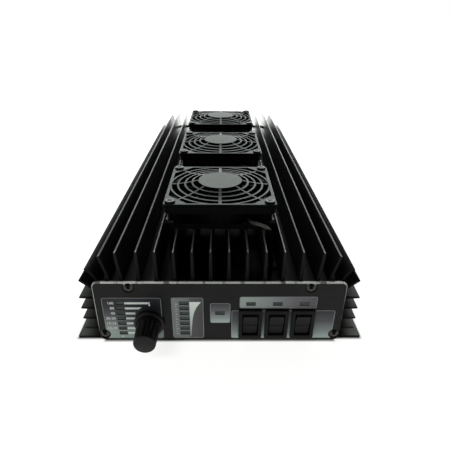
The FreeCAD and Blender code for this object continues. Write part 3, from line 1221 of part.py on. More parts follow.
def transistor(x, y):
    """A flange that bolts to the plate, and the cap below it."""
    flange_w, flange_d, flange_t = TRANSISTOR_FLANGE
    cap_w, cap_d, cap_t = TRANSISTOR_CAP
    seat = PLATE_UNDER - flange_t
    flange = block(around(x, flange_w), around(y, flange_d), (seat, PLATE_UNDER))
    cap = block(around(x, cap_w), around(y, cap_d), (seat - cap_t, seat))
    reach = flange_w / 2 - TRANSISTOR_HOLE_INSET
    holes = [drill_z(M3 + SLIP, x + side * reach, y, seat, PLATE_UNDER) for side in SIDES]
    return joined([flange, cap]).cut(Part.makeCompound(holes))


def input_transformer():
    """A two-hole core, and the winding that passes through both holes."""
    width, depth, height = INPUT_CORE
    middle = CARD_UNDER - height / 2
    front, back = around(INPUT_CORE_Y, depth)
    core = block(around(0, width), (front, back), (CARD_UNDER - height, CARD_UNDER))
    holes = [drill_y(INPUT_BORE_R, side * INPUT_BORE_X, middle, front, back) for side in SIDES]
    loop_w, loop_d, loop_h = INPUT_LOOP
    far = back + INPUT_LOOP_REACH
    near = front - INPUT_LOOP_REACH
    winding = [rod(INPUT_WIRE_R, (side * INPUT_BORE_X, near, middle), (0, far - near, 0)) for side in SIDES]
    winding.append(block(around(0, loop_w), (near - loop_d, near), around(middle, loop_h)))
    winding.append(block(around(0, loop_w), (far, far + loop_d), around(middle, loop_h)))
    return core.cut(Part.makeCompound(holes)), joined(winding)


def output_transformer():
    """Ferrite tubes on metal tubes that two end plates hold under the board."""
    z = CARD_UNDER - OUTPUT_DROP
    plate_w, plate_t = OUTPUT_PLATE
    solids = []
    for side in SIDES:
        x = side * OUTPUT_TUBE_X
        start = (x, OUTPUT_Y - OUTPUT_TUBE / 2, z)
        solids.append(tube(OUTPUT_TUBE_R, OUTPUT_TUBE_BORE, start, (0, OUTPUT_TUBE, 0)))
        start = (x, OUTPUT_Y - OUTPUT_SLEEVE / 2, z)
        solids.append(tube(OUTPUT_SLEEVE_R, OUTPUT_SLEEVE_BORE, start, (0, OUTPUT_SLEEVE, 0)))
        y0, y1 = around(OUTPUT_Y + side * (OUTPUT_SLEEVE + plate_t) / 2, plate_t)
        plate = block(around(0, plate_w), (y0, y1), (z - OUTPUT_PLATE_LOW, CARD_UNDER))
        holes = [drill_y(OUTPUT_SLEEVE_BORE, hole * OUTPUT_TUBE_X, z, y0, y1) for hole in SIDES]
        solids.append(plate.cut(Part.makeCompound(holes)))
    return solids


def build_power_stage():
    save("rf_transistors", *[transistor(x, y) for x, y in transistor_places()])
    save("input_transformer", *input_transformer())
    save("output_transformer", *output_transformer())


def hung_box(size, x, y):
    """A part with a square body under the boards."""
    width, depth, height = size
    return block(around(x, width), around(y, depth), (CARD_UNDER - height, CARD_UNDER))


def build_filters():
    toroids = []
    relays = []
    capacitors = []
    first = FILTER_CARD_Y[0] + FILTER_MARGIN
    room = FILTER_CARD_Y[1] - FILTER_MARGIN - first
    rows = int(room / FILTER_ROW)
    step = room / rows
    for n in range(rows):
        y = first + (n + 0.5) * step
        for x in TOROID_XS:
            place = (x, y - TOROID_T / 2, CARD_UNDER - TOROID_R)
            toroids.append(tube(TOROID_R, TOROID_BORE, place, (0, TOROID_T, 0)))
        for x in DISC_CAP_XS:
            place = (x, y - DISC_CAP / 2, CARD_UNDER - DISC_CAP_R)
            capacitors.append(rod(DISC_CAP_R, place, (0, DISC_CAP, 0)))
        relays += [hung_box(FILTER_RELAY, x, y) for x in FILTER_RELAY_XS]
    for x in CAN_CAP_XS:
        capacitors.append(rod(CAN_CAP_R, (x, SUPPLY_CARD_Y[0] + CAN_CAP_IN, CARD_UNDER), (0, 0, -CAN_CAP_H)))
    relays += [hung_box(ANTENNA_RELAY, x, SUPPLY_CARD_Y[0] + ANTENNA_RELAY_IN) for x in ANTENNA_RELAY_XS]
    save("filter_toroids", *toroids)
    save("capacitors", *capacitors)
    save("relays", *relays)


def main():
    os.makedirs("parts", exist_ok=True)
    build_heatsink()
    build_front_panel()
    build_rear_panel()
    build_bottom_cover()
    build_display()
    build_band_switch()
    build_knob()
    build_rockers()
    build_fans()
    build_rear_connectors()
    build_boards()
    build_power_stage()
    build_filters()


main()
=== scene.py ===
"""HF linear amplifier: finishes, printed panel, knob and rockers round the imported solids."""
import json
import math
import bmesh
import bpy
from mathutils import Matrix, Vector


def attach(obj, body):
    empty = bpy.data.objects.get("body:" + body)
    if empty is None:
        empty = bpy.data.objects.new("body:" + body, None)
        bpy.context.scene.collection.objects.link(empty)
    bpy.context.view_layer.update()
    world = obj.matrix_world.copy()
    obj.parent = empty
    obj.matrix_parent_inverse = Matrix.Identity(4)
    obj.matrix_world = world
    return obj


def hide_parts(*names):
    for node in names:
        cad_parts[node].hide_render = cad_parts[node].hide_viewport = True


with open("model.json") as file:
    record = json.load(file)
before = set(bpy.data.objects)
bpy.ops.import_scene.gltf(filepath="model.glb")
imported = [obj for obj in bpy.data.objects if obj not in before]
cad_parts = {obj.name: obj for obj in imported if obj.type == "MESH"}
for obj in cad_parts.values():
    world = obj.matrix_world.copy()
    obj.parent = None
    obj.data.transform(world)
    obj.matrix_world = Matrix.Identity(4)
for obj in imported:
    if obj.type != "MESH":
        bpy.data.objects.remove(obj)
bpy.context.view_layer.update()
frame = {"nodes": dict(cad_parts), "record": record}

MM = 0.001
NODES = frame["nodes"]
SLOT_OF = {row["node"]: row["material_slot"] for row in frame["record"]["subparts"]}

# ---------------------------------------------------------------- places and sizes, in mm
FACE_Y = -224.5               # face of the front panel
PAST = 1.0                    # how far a cutter reaches past what it cuts
SCREWS_LOW = (83.3, 6.2)      # panel screws, from the middle and from the bench
SCREWS_HIGH = (62.4, 47.2)
SCREW_ROOM = 4.3              # radius of the sunk ring round a screw, painted near black as shade

ROCKER_XS = (21.7, 40.4, 59.1)
ROCKER_NAMES = ("left", "middle", "right")
ROCKER_Z = 15.9
PIVOT_Y = -222.9              # axis of the rockers
DRUM_R = 9.3                  # the drum that a rocker is cut from
DRUM_HALF_W = 5.1
DRUM_BACK = 3.0               # flat back, behind the axis
DRUM_CUTS = (-6.9, -4.6, -2.3, 0, 2.3, 4.6, 6.9)
HOLLOW_R = 45.0               # radius of the hollowed halves
HOLLOW_HALF = 4.6             # from the valley to the middle of a half
HOLLOW_SLOPE = math.radians(3.0)
VALLEY_Y = PIVOT_Y - 3.0
GROOVE_R = 0.4                # fine groove along the valley
ROCKER_EDGE = 0.35
ROCKER_REST = math.radians(8)

KNOB_X = -50.2
KNOB_Z = 16.6
KNOB_BACK = FACE_Y - 0.8
KNOB_FRONT = FACE_Y - 21.6
KNOB_SKIRT_Y = KNOB_BACK - 0.6
KNOB_SKIRT_R = 10.9
KNOB_HOLE_R = 7.2             # room in the print round the bush
KNOB_TURN = math.radians(30)  # from the straight pointer to the place of rest
RING_SIDES = 144
RING_STEP = 360 / RING_SIDES  # degrees between two points of a ring
FLUTE_TURN = 30               # degrees from one flute to the next
# Steps from the middle of a flute, and how much of its depth they get
FLUTE_SHARES = (((0, 1), 1.0), ((2,), 0.72), ((3,), 0.28))
# A place along the knob, the radius there and how far the flutes are drawn in
KNOB_STEPS = (
    (KNOB_BACK - 1.1, 10.75, 1), (KNOB_BACK - 1.5, 10.45, 1), (KNOB_BACK - 1.8, 10.0, 1),
    (KNOB_BACK - 1.97, 9.45, 1), (KNOB_BACK - 2.0, 9.0, 1), (KNOB_BACK - 1.7, 8.75, 1),
    (KNOB_BACK - 1.66, 8.42, 1), (KNOB_BACK - 1.9, 8.4, 1), (KNOB_BACK - 4.8, 8.3, 1),
    (KNOB_BACK - 5.2, 8.28, 0.95), (KNOB_BACK - 6.6, 8.18, 0.935),
    (KNOB_FRONT + 3.0, 7.70, 0.935), (KNOB_FRONT + 1.6, 7.66, 0.955),
    (KNOB_FRONT + 0.9, 7.62, 0.985), (KNOB_FRONT + 0.45, 7.54, 1), (KNOB_FRONT + 0.15, 7.36, 1),
    (KNOB_FRONT, 7.0, 1))
RECESS_R = 7.3                # hollow in the back of the knob
RECESS_DEPTH = 3.4
BORE_R = 3.0
BORE_END = KNOB_FRONT + 5.0
SET_SCREW_R = 1.5
SET_SCREW_Y = KNOB_BACK - 7
POINTER_HALF_W = 0.25
POINTER_SPAN = (KNOB_SKIRT_Y - 12.5, KNOB_SKIRT_Y - 4.5)
POINTER_RISE = (7.2, 7.9)     # from the knob's axis
POINTER_DROP = 0.36           # of its front end, along the taper

PRINT = 0.08                  # thickness of a printed field
INK = 0.05                    # thickness of what is printed on a field
PRINT_SUNK = 0.02             # how far a field lies in the panel, and ink in a field
INK_SUNK = 0.01
WINDOW_ROOM = 0.06            # round an indicator window
WINDOW_LINE = 0.3
OUTLINE = 0.4
LED_ZS = [7.1 + 4.5 * n for n in range(7)]
# Openings in the print: middle X, middle Z, width, height
BAND_WINDOWS = [(-69.6, z, 5.2 + WINDOW_ROOM, 2.4 + WINDOW_ROOM) for z in LED_ZS]
POWER_WINDOWS = [(-25.0, z, 6.0 + WINDOW_ROOM, 2.4 + WINDOW_ROOM) for z in LED_ZS]
STATUS_WINDOWS = [(x, 33.5, 6.0 + WINDOW_ROOM, 2.5 + WINDOW_ROOM) for x in ROCKER_XS]
WARNING_WINDOWS = [(0.1, 25.4, 6.0 + WINDOW_ROOM, 2.5 + WINDOW_ROOM)]
ROCKER_HOLES = [(x, ROCKER_Z, 14.6, 24.0) for x in ROCKER_XS]
# Printed fields: X, Z and corner radius
BAND_FIELD = ((-82.0, -40.8), (2.2, 38.8), 1.6)
POWER_FIELD = ((-33.8, -11.5), (2.5, 39.0), 1.4)
WARNING_FIELD = ((-6.8, 7.4), (16.5, 34.1), 1.4)
STATUS_FIELD = ((13.8, 67.8), (29.7, 39.8), 1.4)
SWITCH_FIELD = ((8.3, 81.5), (2.2, 27.7), 1.2)
# White bars from the band windows towards the knob
BAR_START = -66.3
BAR_ENDS = (-56.5, -57.5, -58.5, -59.0, -59.5, -54.5, -48.6)
BAR_HALF = 0.85
SLANTED_BAR = 5
SLANT = -2.4
CORNER_BAR = ((-49.6, -48.6), (31.7, 34.0))
# Horn beside the power windows: its straight side, its tip and its edge by height
HORN_X = -21.2
HORN_TIP = -13.1
HORN_EDGE = ((4.4, -20.7), (9.5, -20.3), (14.6, -19.9), (19.8, -19.3), (24.9, -18.4),
             (30.2, -16.5), (35.2, -13.1))
TICK_X = -31.2
TICK_COUNT = 13
TICK_PITCH = 2.25
TICK_SPAN = (6.2, 6.6)
TICK_LONG = 1.6
TICK_SHORT = 0.9
NUMBERS = ("160", "80", "40", "30-20", "17-15", "12-10", "6")
NUMBER_X = -73.8
LAST_NUMBER = (-69.8, 3.8)
NUMBER_SIZE = 3.0
LAST_NUMBER_SIZE = 2.6
NUMBER_WEIGHT = 0.05


def mm(*values):
    """Millimetres as metres."""
    return tuple(value * MM for value in values)


def ink(red, green, blue):
    """A paint mixed from the three values of a screen colour, 0 to 255."""
    mixed = []
    for value in (red, green, blue):
        value = value / 255
        mixed.append(value / 12.92 if value <= 0.04045 else ((value + 0.055) / 1.055) ** 2.4)
    return tuple(mixed)


# ---------------------------------------------------------------- bench tools
def put_down():
    """Nothing selected."""
    for thing in list(bpy.context.selected_objects):
        thing.select_set(False)


def take(piece):
    """Only this piece selected and active."""
    put_down()
    piece.select_set(True)
    bpy.context.view_layer.objects.active = piece


def settle(piece, name):
    """Name a new primitive and put its size, turn and place into its mesh."""
    piece.name = name
    piece.data.name = name
    bpy.ops.object.transform_apply(location=True, rotation=True, scale=True)
    return piece


def bar(name, x, y, z):
    """A box between pairs of X, Y and Z values, to be shaped further."""
    put_down()
    middle = mm(sum(x) / 2, sum(y) / 2, sum(z) / 2)
    bpy.ops.mesh.primitive_cube_add(size=1, location=middle)
    piece = bpy.context.object
    piece.scale = mm(x[1] - x[0], y[1] - y[0], z[1] - z[0])
    return settle(piece, name)


def round_bar(name, radius, start, end, sides=48):
    """A round bar from start to end, along any line."""
    put_down()
    start = Vector(mm(*start))
    end = Vector(mm(*end))
    turn = (end - start).to_track_quat("Z", "Y").to_euler()
    bpy.ops.mesh.primitive_cone_add(
        vertices=sides, radius1=radius * MM, radius2=radius * MM, depth=(end - start).length,
        location=(start + end) / 2, rotation=turn)
    return settle(bpy.context.object, name)


def open_up(piece):
    """Into edit mode with nothing selected."""
    take(piece)
    bpy.ops.object.mode_set(mode="EDIT")
    bpy.ops.mesh.select_all(action="DESELECT")


def close_up():
    """Back to object mode."""
    bpy.ops.object.mode_set(mode="OBJECT")


def pick(piece, kind, test):
    """In edit mode select what passes; the test gets the place or places in mm and the normal."""
    bpy.ops.mesh.select_mode(type=kind)
    bpy.ops.mesh.select_all(action="DESELECT")
    mesh = bmesh.from_edit_mesh(piece.data)
    if kind == "VERT":
        for point in mesh.verts:
            point.select_set(test(point.co / MM, point.normal))
    elif kind == "EDGE":
        for edge in mesh.edges:
            edge.select_set(test([point.co / MM for point in edge.verts], None))
    else:
        for face in mesh.faces:
            face.select_set(test([point.co / MM for point in face.verts], face.normal))
    bmesh.update_edit_mesh(piece.data)


def slice_piece(place, normal, **options):
    """In edit mode cut the whole mesh along a plane."""
    bpy.ops.mesh.select_all(action="SELECT")
    bpy.ops.mesh.bisect(plane_co=mm(*place), plane_no=normal, **options)


def finish_modifiers(piece):
    """Put the modifiers into the mesh."""
    take(piece)
    for modifier in list(piece.modifiers):
        bpy.ops.object.modifier_apply(modifier=modifier.name)


def soften(piece, width, segments, angle):
    """Round every sharp edge and smooth the shading."""
    take(piece)
    bevel = piece.modifiers.new("Soft edges", "BEVEL")
    bevel.width = width * MM
    bevel.segments = segments
    bevel.limit_method = "ANGLE"
    bevel.angle_limit = math.radians(angle)
    bevel.use_clamp_overlap = True
    finish_modifiers(piece)
    bpy.ops.object.shade_smooth_by_angle(angle=math.radians(angle))


def carve(piece, *cutters):
    """Cut the cutters out of the piece and throw them away."""
    for cutter in cutters:
        cut = piece.modifiers.new("Cut", "BOOLEAN")
        cut.operation = "DIFFERENCE"
        cut.solver = "EXACT"
        cut.object = cutter
        finish_modifiers(piece)
        bpy.data.objects.remove(cutter)
    return piece


def gather(name, pieces):
    """Join pieces into one."""
    take(pieces[0])
    for piece in pieces[1:]:
        piece.select_set(True)
    bpy.ops.object.join()
    pieces[0].name = name
    pieces[0].data.name = name
    return pieces[0]


def tidy_normals(piece):
    """Merge doubled points and turn all faces outward."""
    open_up(piece)
    bpy.ops.mesh.select_all(action="SELECT")
    bpy.ops.mesh.remove_doubles(threshold=1e-7)
    bpy.ops.mesh.normals_make_consistent(inside=False)
    close_up()


def swing(piece, place, angle, axis):
    """Turn a piece about an axis through a place, and put the turn into its mesh."""
    spot = Matrix.Translation(mm(*place))
    take(piece)
    piece.matrix_world = spot @ Matrix.Rotation(angle, 4, axis) @ spot.inverted()
    bpy.ops.object.transform_apply(location=True, rotation=True, scale=True)


def fit(piece, body, slot, material, *nodes):
    """Finish a piece: its paint, the body that carries it and what it stands for. The slot is not
    used.
    """
    piece.data.materials.clear()
    piece.data.materials.append(material)
    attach(piece, body)
    if nodes:
        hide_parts(*nodes)
    return piece


# ---------------------------------------------------------------- paint shop, places in metres
def new_paint(name, colour, rough, metal=0.0, specular=0.5, coat=0.0):
    """A material, its nodes and its main shader."""
    paint = bpy.data.materials.new(name)
    paint.use_nodes = True
    nodes = paint.node_tree
    shader = shader_of(paint)
    shader.inputs["Base Color"].default_value = (*colour, 1)
    shader.inputs["Roughness"].default_value = rough
    shader.inputs["Metallic"].default_value = metal
    shader.inputs["Specular IOR Level"].default_value = specular
    shader.inputs["Coat Weight"].default_value = coat
    return paint, nodes, shader


def shader_of(paint):
    """The main shader of a material."""
    return paint.node_tree.nodes["Principled BSDF"]


def feed(nodes, shader, name, value):
    """Let a value drive an input of the shader."""
    nodes.links.new(value, shader.inputs[name])


def where(nodes, stretch=(1, 1, 1), turn=(0, 0, 0)):
    """Place on the piece, in metres, stretched or turned."""
    coordinates = nodes.nodes.new("ShaderNodeTexCoord")
    mapping = nodes.nodes.new("ShaderNodeMapping")
    mapping.inputs["Scale"].default_value = stretch
    mapping.inputs["Rotation"].default_value = turn
    nodes.links.new(coordinates.outputs["Object"], mapping.inputs["Vector"])
    return mapping.outputs["Vector"]


def grain(nodes, scale, stretch=(1, 1, 1), detail=3.0):
    """Cloudy noise from 0 to 1."""
    noise = nodes.nodes.new("ShaderNodeTexNoise")
    noise.inputs["Scale"].default_value = scale
    noise.inputs["Detail"].default_value = detail
    noise.inputs["Roughness"].default_value = 0.5
    nodes.links.new(where(nodes, stretch), noise.inputs["Vector"])
    return noise.outputs["Fac"]


def spread(nodes, value, low, high, start=0.3, end=0.7):
    """Map a value from start..end to low..high."""
    scale = nodes.nodes.new("ShaderNodeMapRange")
    scale.inputs["From Min"].default_value = start
    scale.inputs["From Max"].default_value = end
    scale.inputs["To Min"].default_value = low
    scale.inputs["To Max"].default_value = high
    nodes.links.new(value, scale.inputs["Value"])
    return scale.outputs["Result"]


def blend_paint(nodes, value, first, second):
    """Mix two colours, or two colour sockets, by a value."""
    mix = nodes.nodes.new("ShaderNodeMix")
    mix.data_type = "RGBA"
    nodes.links.new(value, mix.inputs["Factor"])
    for name, colour in (("A", first), ("B", second)):
        socket = next(i for i in mix.inputs if i.name == name and i.type == "RGBA")
        if isinstance(colour, tuple):
            socket.default_value = (*colour, 1)
        else:
            nodes.links.new(colour, socket)
    return next(o for o in mix.outputs if o.type == "RGBA")


def reckon(nodes, kind, first, second=None):
    """A Math node; sockets or numbers go in."""
    math_node = nodes.nodes.new("ShaderNodeMath")
    math_node.operation = kind
    for socket, value in zip(math_node.inputs, (first, second)):
        if isinstance(value, (int, float)):
            socket.default_value = value
        elif value is not None:
            nodes.links.new(value, socket)
    return math_node.outputs["Value"]


def times(nodes, first, second):
    """Two values multiplied."""
    return reckon(nodes, "MULTIPLY", first, second)


def most(nodes, first, second):
    """The larger of two values."""
    return reckon(nodes, "MAXIMUM", first, second)


def part_of(nodes, axis, source=None):
    """X, Y or Z of a vector, by default of the place on the piece."""
    split = nodes.nodes.new("ShaderNodeSeparateXYZ")
    nodes.links.new(source or where(nodes), split.inputs["Vector"])
    return split.outputs[axis]


def from_middle(nodes, axis):
    """Distance from the middle of the amplifier along an axis."""
    return reckon(nodes, "ABSOLUTE", part_of(nodes, axis))


def facing(nodes, axis):
    """How much the surface faces along an axis, from 0 to 1."""
    geometry = nodes.nodes.new("ShaderNodeNewGeometry")
    return reckon(nodes, "ABSOLUTE", part_of(nodes, axis, geometry.outputs["Normal"]))


def relief(nodes, shader, height, depth):
    """Raise the surface by a height value."""
    bump = nodes.nodes.new("ShaderNodeBump")
    bump.inputs["Distance"].default_value = depth
    bump.inputs["Strength"].default_value = 1.0
    nodes.links.new(height, bump.inputs["Height"])
    nodes.links.new(bump.outputs["Normal"], shader.inputs["Normal"])


def moulded(name, dark, light, rough, scale=900.0, bump=0.00002, metal=0.0, specular=0.5,
            stretch=(1, 1, 1)):
    """A finish with its own grain: two close colours, a span of roughness and a fine relief."""
    paint, nodes, shader = new_paint(name, dark, rough[0], metal, specular)
    clouds = grain(nodes, scale * 0.12, stretch)
    fine = grain(nodes, scale, stretch)
    feed(nodes, shader, "Base Color", blend_paint(nodes, spread(nodes, clouds, 0, 1), dark, light))
    feed(nodes, shader, "Roughness", spread(nodes, fine, *rough))
    relief(nodes, shader, fine, bump)
    return paint


def anodised_extrusion():
    """Black anodising with draw lines along the extrusion and saw marks on the cut ends, and
    painted light on the fin tips and on the side fins' flat faces.
    """
    flat = (0.90, 0.96)                 # how squarely a face has to look along an axis
    below_plate = (0.0505, 0.0525)      # the side fins lie below this height
    outer_fins = (0.088, 0.101)         # from the middle
    tip_height = (0.068, 0.074)
    channel_height = (0.052, 0.072)
    before_fans = (-0.205, -0.185)
    fan_half = (0.044, 0.050)
    front_corner = (-0.2202, -0.2180)
    rear_end = (0.12, 0.20)

    paint, nodes, shader = new_paint("black_anodising", (0.006, 0.006, 0.006), 0.4, 0.0, 0.3)
    draw_lines = grain(nodes, 1.0, (1500, 6, 1500), 2.0)
    blotches = grain(nodes, 30.0, (1, 0.4, 1), 4.0)
    saw_marks = grain(nodes, 1.0, (90, 90, 1900), 2.0)
    side = blend_paint(nodes, spread(nodes, blotches, 0, 1),
                       (0.0022, 0.0022, 0.0020), (0.0048, 0.0048, 0.0045))
    end = blend_paint(nodes, spread(nodes, saw_marks, 0, 1),
                      (0.0045, 0.0046, 0.0044), (0.0095, 0.0098, 0.0092))
    cut_end = spread(nodes, facing(nodes, "Y"), 0, 1, *flat)
    # The side fins' flat faces away from the panel are painted pale as painted light from the
    # floor and backdrop beside them; their cut ends are darker
    up = spread(nodes, facing(nodes, "Z"), 0, 1, *flat)
    across = from_middle(nodes, "X")
    along = part_of(nodes, "Y")
    low = spread(nodes, part_of(nodes, "Z"), 1, 0, *below_plate)
    outer = times(nodes, low, spread(nodes, across, 0, 1, *outer_fins))
    end = blend_paint(nodes, low, end, (0.003, 0.003, 0.0028))
    side = blend_paint(nodes, times(nodes, outer, up), side, (0.135, 0.137, 0.127))
    tip = times(nodes, up, spread(nodes, part_of(nodes, "Z"), 0, 1, *tip_height))
    # Painted reflection on the fin tips: lighter than the sides, brighter in front of the fans
    # within their width, and a pale painted highlight at the front corners
    tip_reflection_before_fans = times(nodes, spread(nodes, along, 1, 0, *before_fans),
                   spread(nodes, across, 1, 0, *fan_half))
    corner = spread(nodes, along, 1, 0, *front_corner)
    painted_tip_highlight = blend_paint(nodes, tip_reflection_before_fans, (0.020, 0.020, 0.019), (0.125, 0.125, 0.120))
    side = blend_paint(nodes, tip, side,
                       blend_paint(nodes, corner, painted_tip_highlight, (0.34, 0.34, 0.33)))
    feed(nodes, shader, "Base Color", blend_paint(nodes, cut_end, side, end))
    # The rear end is polished by the draw bench; the floors of the channels are dull
    rear = spread(nodes, along, 0, 1, *rear_end)
    feed(nodes, shader, "Roughness", times(nodes, spread(nodes, draw_lines, 0.30, 0.48),
                                           spread(nodes, rear, 1, 0.45, 0, 1)))
    shine = times(nodes, spread(nodes, part_of(nodes, "Z"), 0.04, 0.4, *channel_height),
                  spread(nodes, cut_end, 1, 0.2, 0, 1))
    side_shine = times(nodes, outer, 0.15)
    rear_shine = times(nodes, rear, 0.7)
    feed(nodes, shader, "Specular IOR Level",
         most(nodes, shine, most(nodes, side_shine, rear_shine)))
    relief(nodes, shader, draw_lines, 0.00002)
    return paint


def screw_mask(nodes, inner, outer, rise=0.0):
    """From 1 nearer than inner to 0 past outer, in mm, round the middle of each panel screw."""
    across = from_middle(nodes, "X")
    height = part_of(nodes, "Z")
    masks = []
    for screw_x, screw_z in (SCREWS_LOW, SCREWS_HIGH):
        off_x = reckon(nodes, "SUBTRACT", across, screw_x * MM)
        off_z = reckon(nodes, "SUBTRACT", height, (screw_z + rise) * MM)
        gap = reckon(nodes, "SQRT", reckon(nodes, "ADD", reckon(nodes, "POWER", off_x, 2.0),
                                           reckon(nodes, "POWER", off_z, 2.0)))
        masks.append(spread(nodes, gap, 1, 0, inner * MM, outer * MM))
    return most(nodes, *masks)


def bronze_screw():
    """Bronzed steel, with painted shade: a near-black recess in the middle, and a dark upper edge.
    """
    paint = moulded("bronzed_steel", (0.010, 0.0095, 0.0075), (0.034, 0.031, 0.024), (0.22, 0.40),
                    700, 0.00008, 0.3, 0.4)
    nodes = paint.node_tree
    shader = shader_of(paint)
    # Painted shade: near black without metal or shine over the recess and along the upper edge of
    # each head
    recess = screw_mask(nodes, 0.8, 1.4)
    painted_upper_shade = screw_mask(nodes, 1.4, 2.6, 2.4)
    dark = most(nodes, recess, painted_upper_shade)
    wear_and_highlight = shader.inputs["Base Color"].links[0].from_socket
    feed(nodes, shader, "Base Color", blend_paint(nodes, dark, wear_and_highlight, (0.0012, 0.0011, 0.0008)))
    feed(nodes, shader, "Metallic", spread(nodes, dark, 0.3, 0.0, 0, 1))
    feed(nodes, shader, "Specular IOR Level", spread(nodes, dark, 0.4, 0.03, 0, 1))
    return paint


def panel_paint():
    """Satin dark paint; the bevel is bare metal along the top, the left side and the upper right,
    partly real and partly a painted highlight, and dark elsewhere as painted shade.
    """
    face_dark = (0.0042, 0.0048, 0.0042)
    face_light = (0.0076, 0.0084, 0.0074)
    face_shine = 0.13
    turned_away = (0.93, 0.97)          # the bevel, not the face
    front_part = (-0.2230, -0.2225)     # and not the sides behind it
    top_edge = (0.0492, 0.0500)
    left_edge = (-0.0846, -0.0838)
    right_edge = (0.0838, 0.0846)
    left_rise = (0.006, 0.020)
    right_rise = (0.030, 0.046)

    paint, nodes, shader = new_paint("panel_paint", face_dark, 0.36, 0.0, face_shine)
    speckle = grain(nodes, 2600.0, detail=2.0)
    clouds = grain(nodes, 60.0)
    painted = blend_paint(nodes, spread(nodes, clouds, 0, 1), face_dark, face_light)
    brushed = blend_paint(nodes, spread(nodes, grain(nodes, 1.0, (200, 4000, 4000)), 0, 1),
                          (0.75, 0.75, 0.73), (0.97, 0.97, 0.95))
    # Bare metal and painted highlight: the bevel is pale along the top in patches, up the left
    # side and on the upper right; the bottom and lower right keep dark paint as painted shade
    turned = times(nodes, spread(nodes, facing(nodes, "Y"), 1, 0, *turned_away),
                   spread(nodes, part_of(nodes, "Y"), 1, 0, *front_part))
    place_x = part_of(nodes, "X")
    height = part_of(nodes, "Z")
    wear_and_highlight = spread(nodes, grain(nodes, 1.0, (150, 0, 0), 1.0), 0.25, 1, 0.38, 0.46)
    top = times(nodes, spread(nodes, height, 0, 1, *top_edge), wear_and_highlight)
    left = times(nodes, spread(nodes, place_x, 0.45, 0, *left_edge),
                 spread(nodes, height, 0, 1, *left_rise))
    right = times(nodes, spread(nodes, place_x, 0, 0.35, *right_edge),
                  spread(nodes, height, 0, 1, *right_rise))
    bare = times(nodes, turned, most(nodes, top, most(nodes, left, right)))
    # Painted shade: the sunk rings round the screws are near black, without shine
    shade = screw_mask(nodes, SCREW_ROOM - 0.5, SCREW_ROOM)
    painted = blend_paint(nodes, shade, painted, (0.0008, 0.0008, 0.0006))
    feed(nodes, shader, "Specular IOR Level", spread(nodes, shade, face_shine, 0.0, 0, 1))
    feed(nodes, shader, "Base Color", blend_paint(nodes, bare, painted, brushed))
    feed(nodes, shader, "Metallic", times(nodes, bare, 0.15))
    feed(nodes, shader, "Roughness", spread(nodes, speckle, 0.33, 0.44))
    relief(nodes, shader, speckle, 0.000012)
    return paint


def colour_run(nodes, axis, stops):
    """A colour that runs along an axis; stops are (place in mm, colour)."""
    low = stops[0][0]
    high = stops[-1][0]
    ramp = nodes.nodes.new("ShaderNodeValToRGB")
    elements = ramp.color_ramp.elements
    while len(elements) < len(stops):
        elements.new(0.5)
    for element, (place, colour) in zip(elements, stops):
        element.position = (place - low) / (high - low)
        element.color = (*colour, 1)
    along = spread(nodes, part_of(nodes, axis), 0, 1, low * MM, high * MM)
    nodes.links.new(along, ramp.inputs["Fac"])
    return ramp.outputs["Color"]


def print_dots(nodes, shader, colour, rough):
    """Give the shader a printed colour with faint dots."""
    dots = grain(nodes, 3200.0, detail=1.0)
    shade = nodes.nodes.new("ShaderNodeHueSaturation")
    nodes.links.new(colour, shade.inputs["Color"])
    nodes.links.new(spread(nodes, dots, 0.95, 1.05), shade.inputs["Value"])
    feed(nodes, shader, "Base Color", shade.outputs["Color"])
    feed(nodes, shader, "Roughness", spread(nodes, dots, rough - 0.05, rough + 0.05))


def faded_print(name, axis, stops, rough=0.42):
    """Print whose colour runs along an axis."""
    paint, nodes, shader = new_paint(name, stops[0][1], rough, 0.0, 0.2)
    print_dots(nodes, shader, colour_run(nodes, axis, stops), rough)
    return paint


def two_way_print(name, left, right, ends, rough=0.42):
    """Print whose colour runs up the panel and differs between its left and right ends."""
    paint, nodes, shader = new_paint(name, left[0][1], rough, 0.0, 0.2)
    sides = [colour_run(nodes, "Z", stops) for stops in (left, right)]
    across = spread(nodes, part_of(nodes, "X"), 0, 1, ends[0] * MM, ends[1] * MM)
    print_dots(nodes, shader, blend_paint(nodes, across, *sides), rough)
    return paint


def circuit_board():
    """Green lacquer over copper tracks, with bare pads."""
    paint, nodes, shader = new_paint("board_lacquer", (0.01, 0.09, 0.03), 0.35, coat=0.3)
    bricks = nodes.nodes.new("ShaderNodeTexBrick")
    bricks.inputs["Scale"].default_value = 90.0
    bricks.inputs["Mortar Size"].default_value = 0.06
    bricks.inputs["Color1"].default_value = (0.012, 0.10, 0.035, 1)
    bricks.inputs["Color2"].default_value = (0.010, 0.075, 0.028, 1)
    bricks.inputs["Mortar"].default_value = (0.035, 0.19, 0.06, 1)
    nodes.links.new(where(nodes), bricks.inputs["Vector"])
    clouds = grain(nodes, 200.0)
    feed(nodes, shader, "Base Color", blend_paint(
        nodes, spread(nodes, clouds, 0, 0.35), bricks.outputs["Color"], (0.02, 0.13, 0.05)))
    feed(nodes, shader, "Roughness", spread(nodes, clouds, 0.28, 0.42))
    relief(nodes, shader, bricks.outputs["Fac"], 0.00003)
    return paint


def wave_of(nodes, scale, distortion, turn=(0, 0, 0)):
    """A wave texture; its node."""
    wave = nodes.nodes.new("ShaderNodeTexWave")
    wave.inputs["Scale"].default_value = scale
    wave.inputs["Distortion"].default_value = distortion
    nodes.links.new(where(nodes, turn=turn), wave.inputs["Vector"])
    return wave


def wound_copper():
    """Enamelled wire wound in fine turns."""
    paint, nodes, shader = new_paint("enamelled_copper", (0.45, 0.16, 0.05), 0.3, 0.9)
    wave = wave_of(nodes, 420.0, 0.6)
    wave.bands_direction = "Z"
    turns = wave.outputs["Fac"]
    feed(nodes, shader, "Base Color",
         blend_paint(nodes, turns, (0.18, 0.05, 0.015), (0.55, 0.22, 0.08)))
    feed(nodes, shader, "Roughness", spread(nodes, turns, 0.5, 0.25, 0, 1))
    relief(nodes, shader, turns, 0.0001)
    return paint


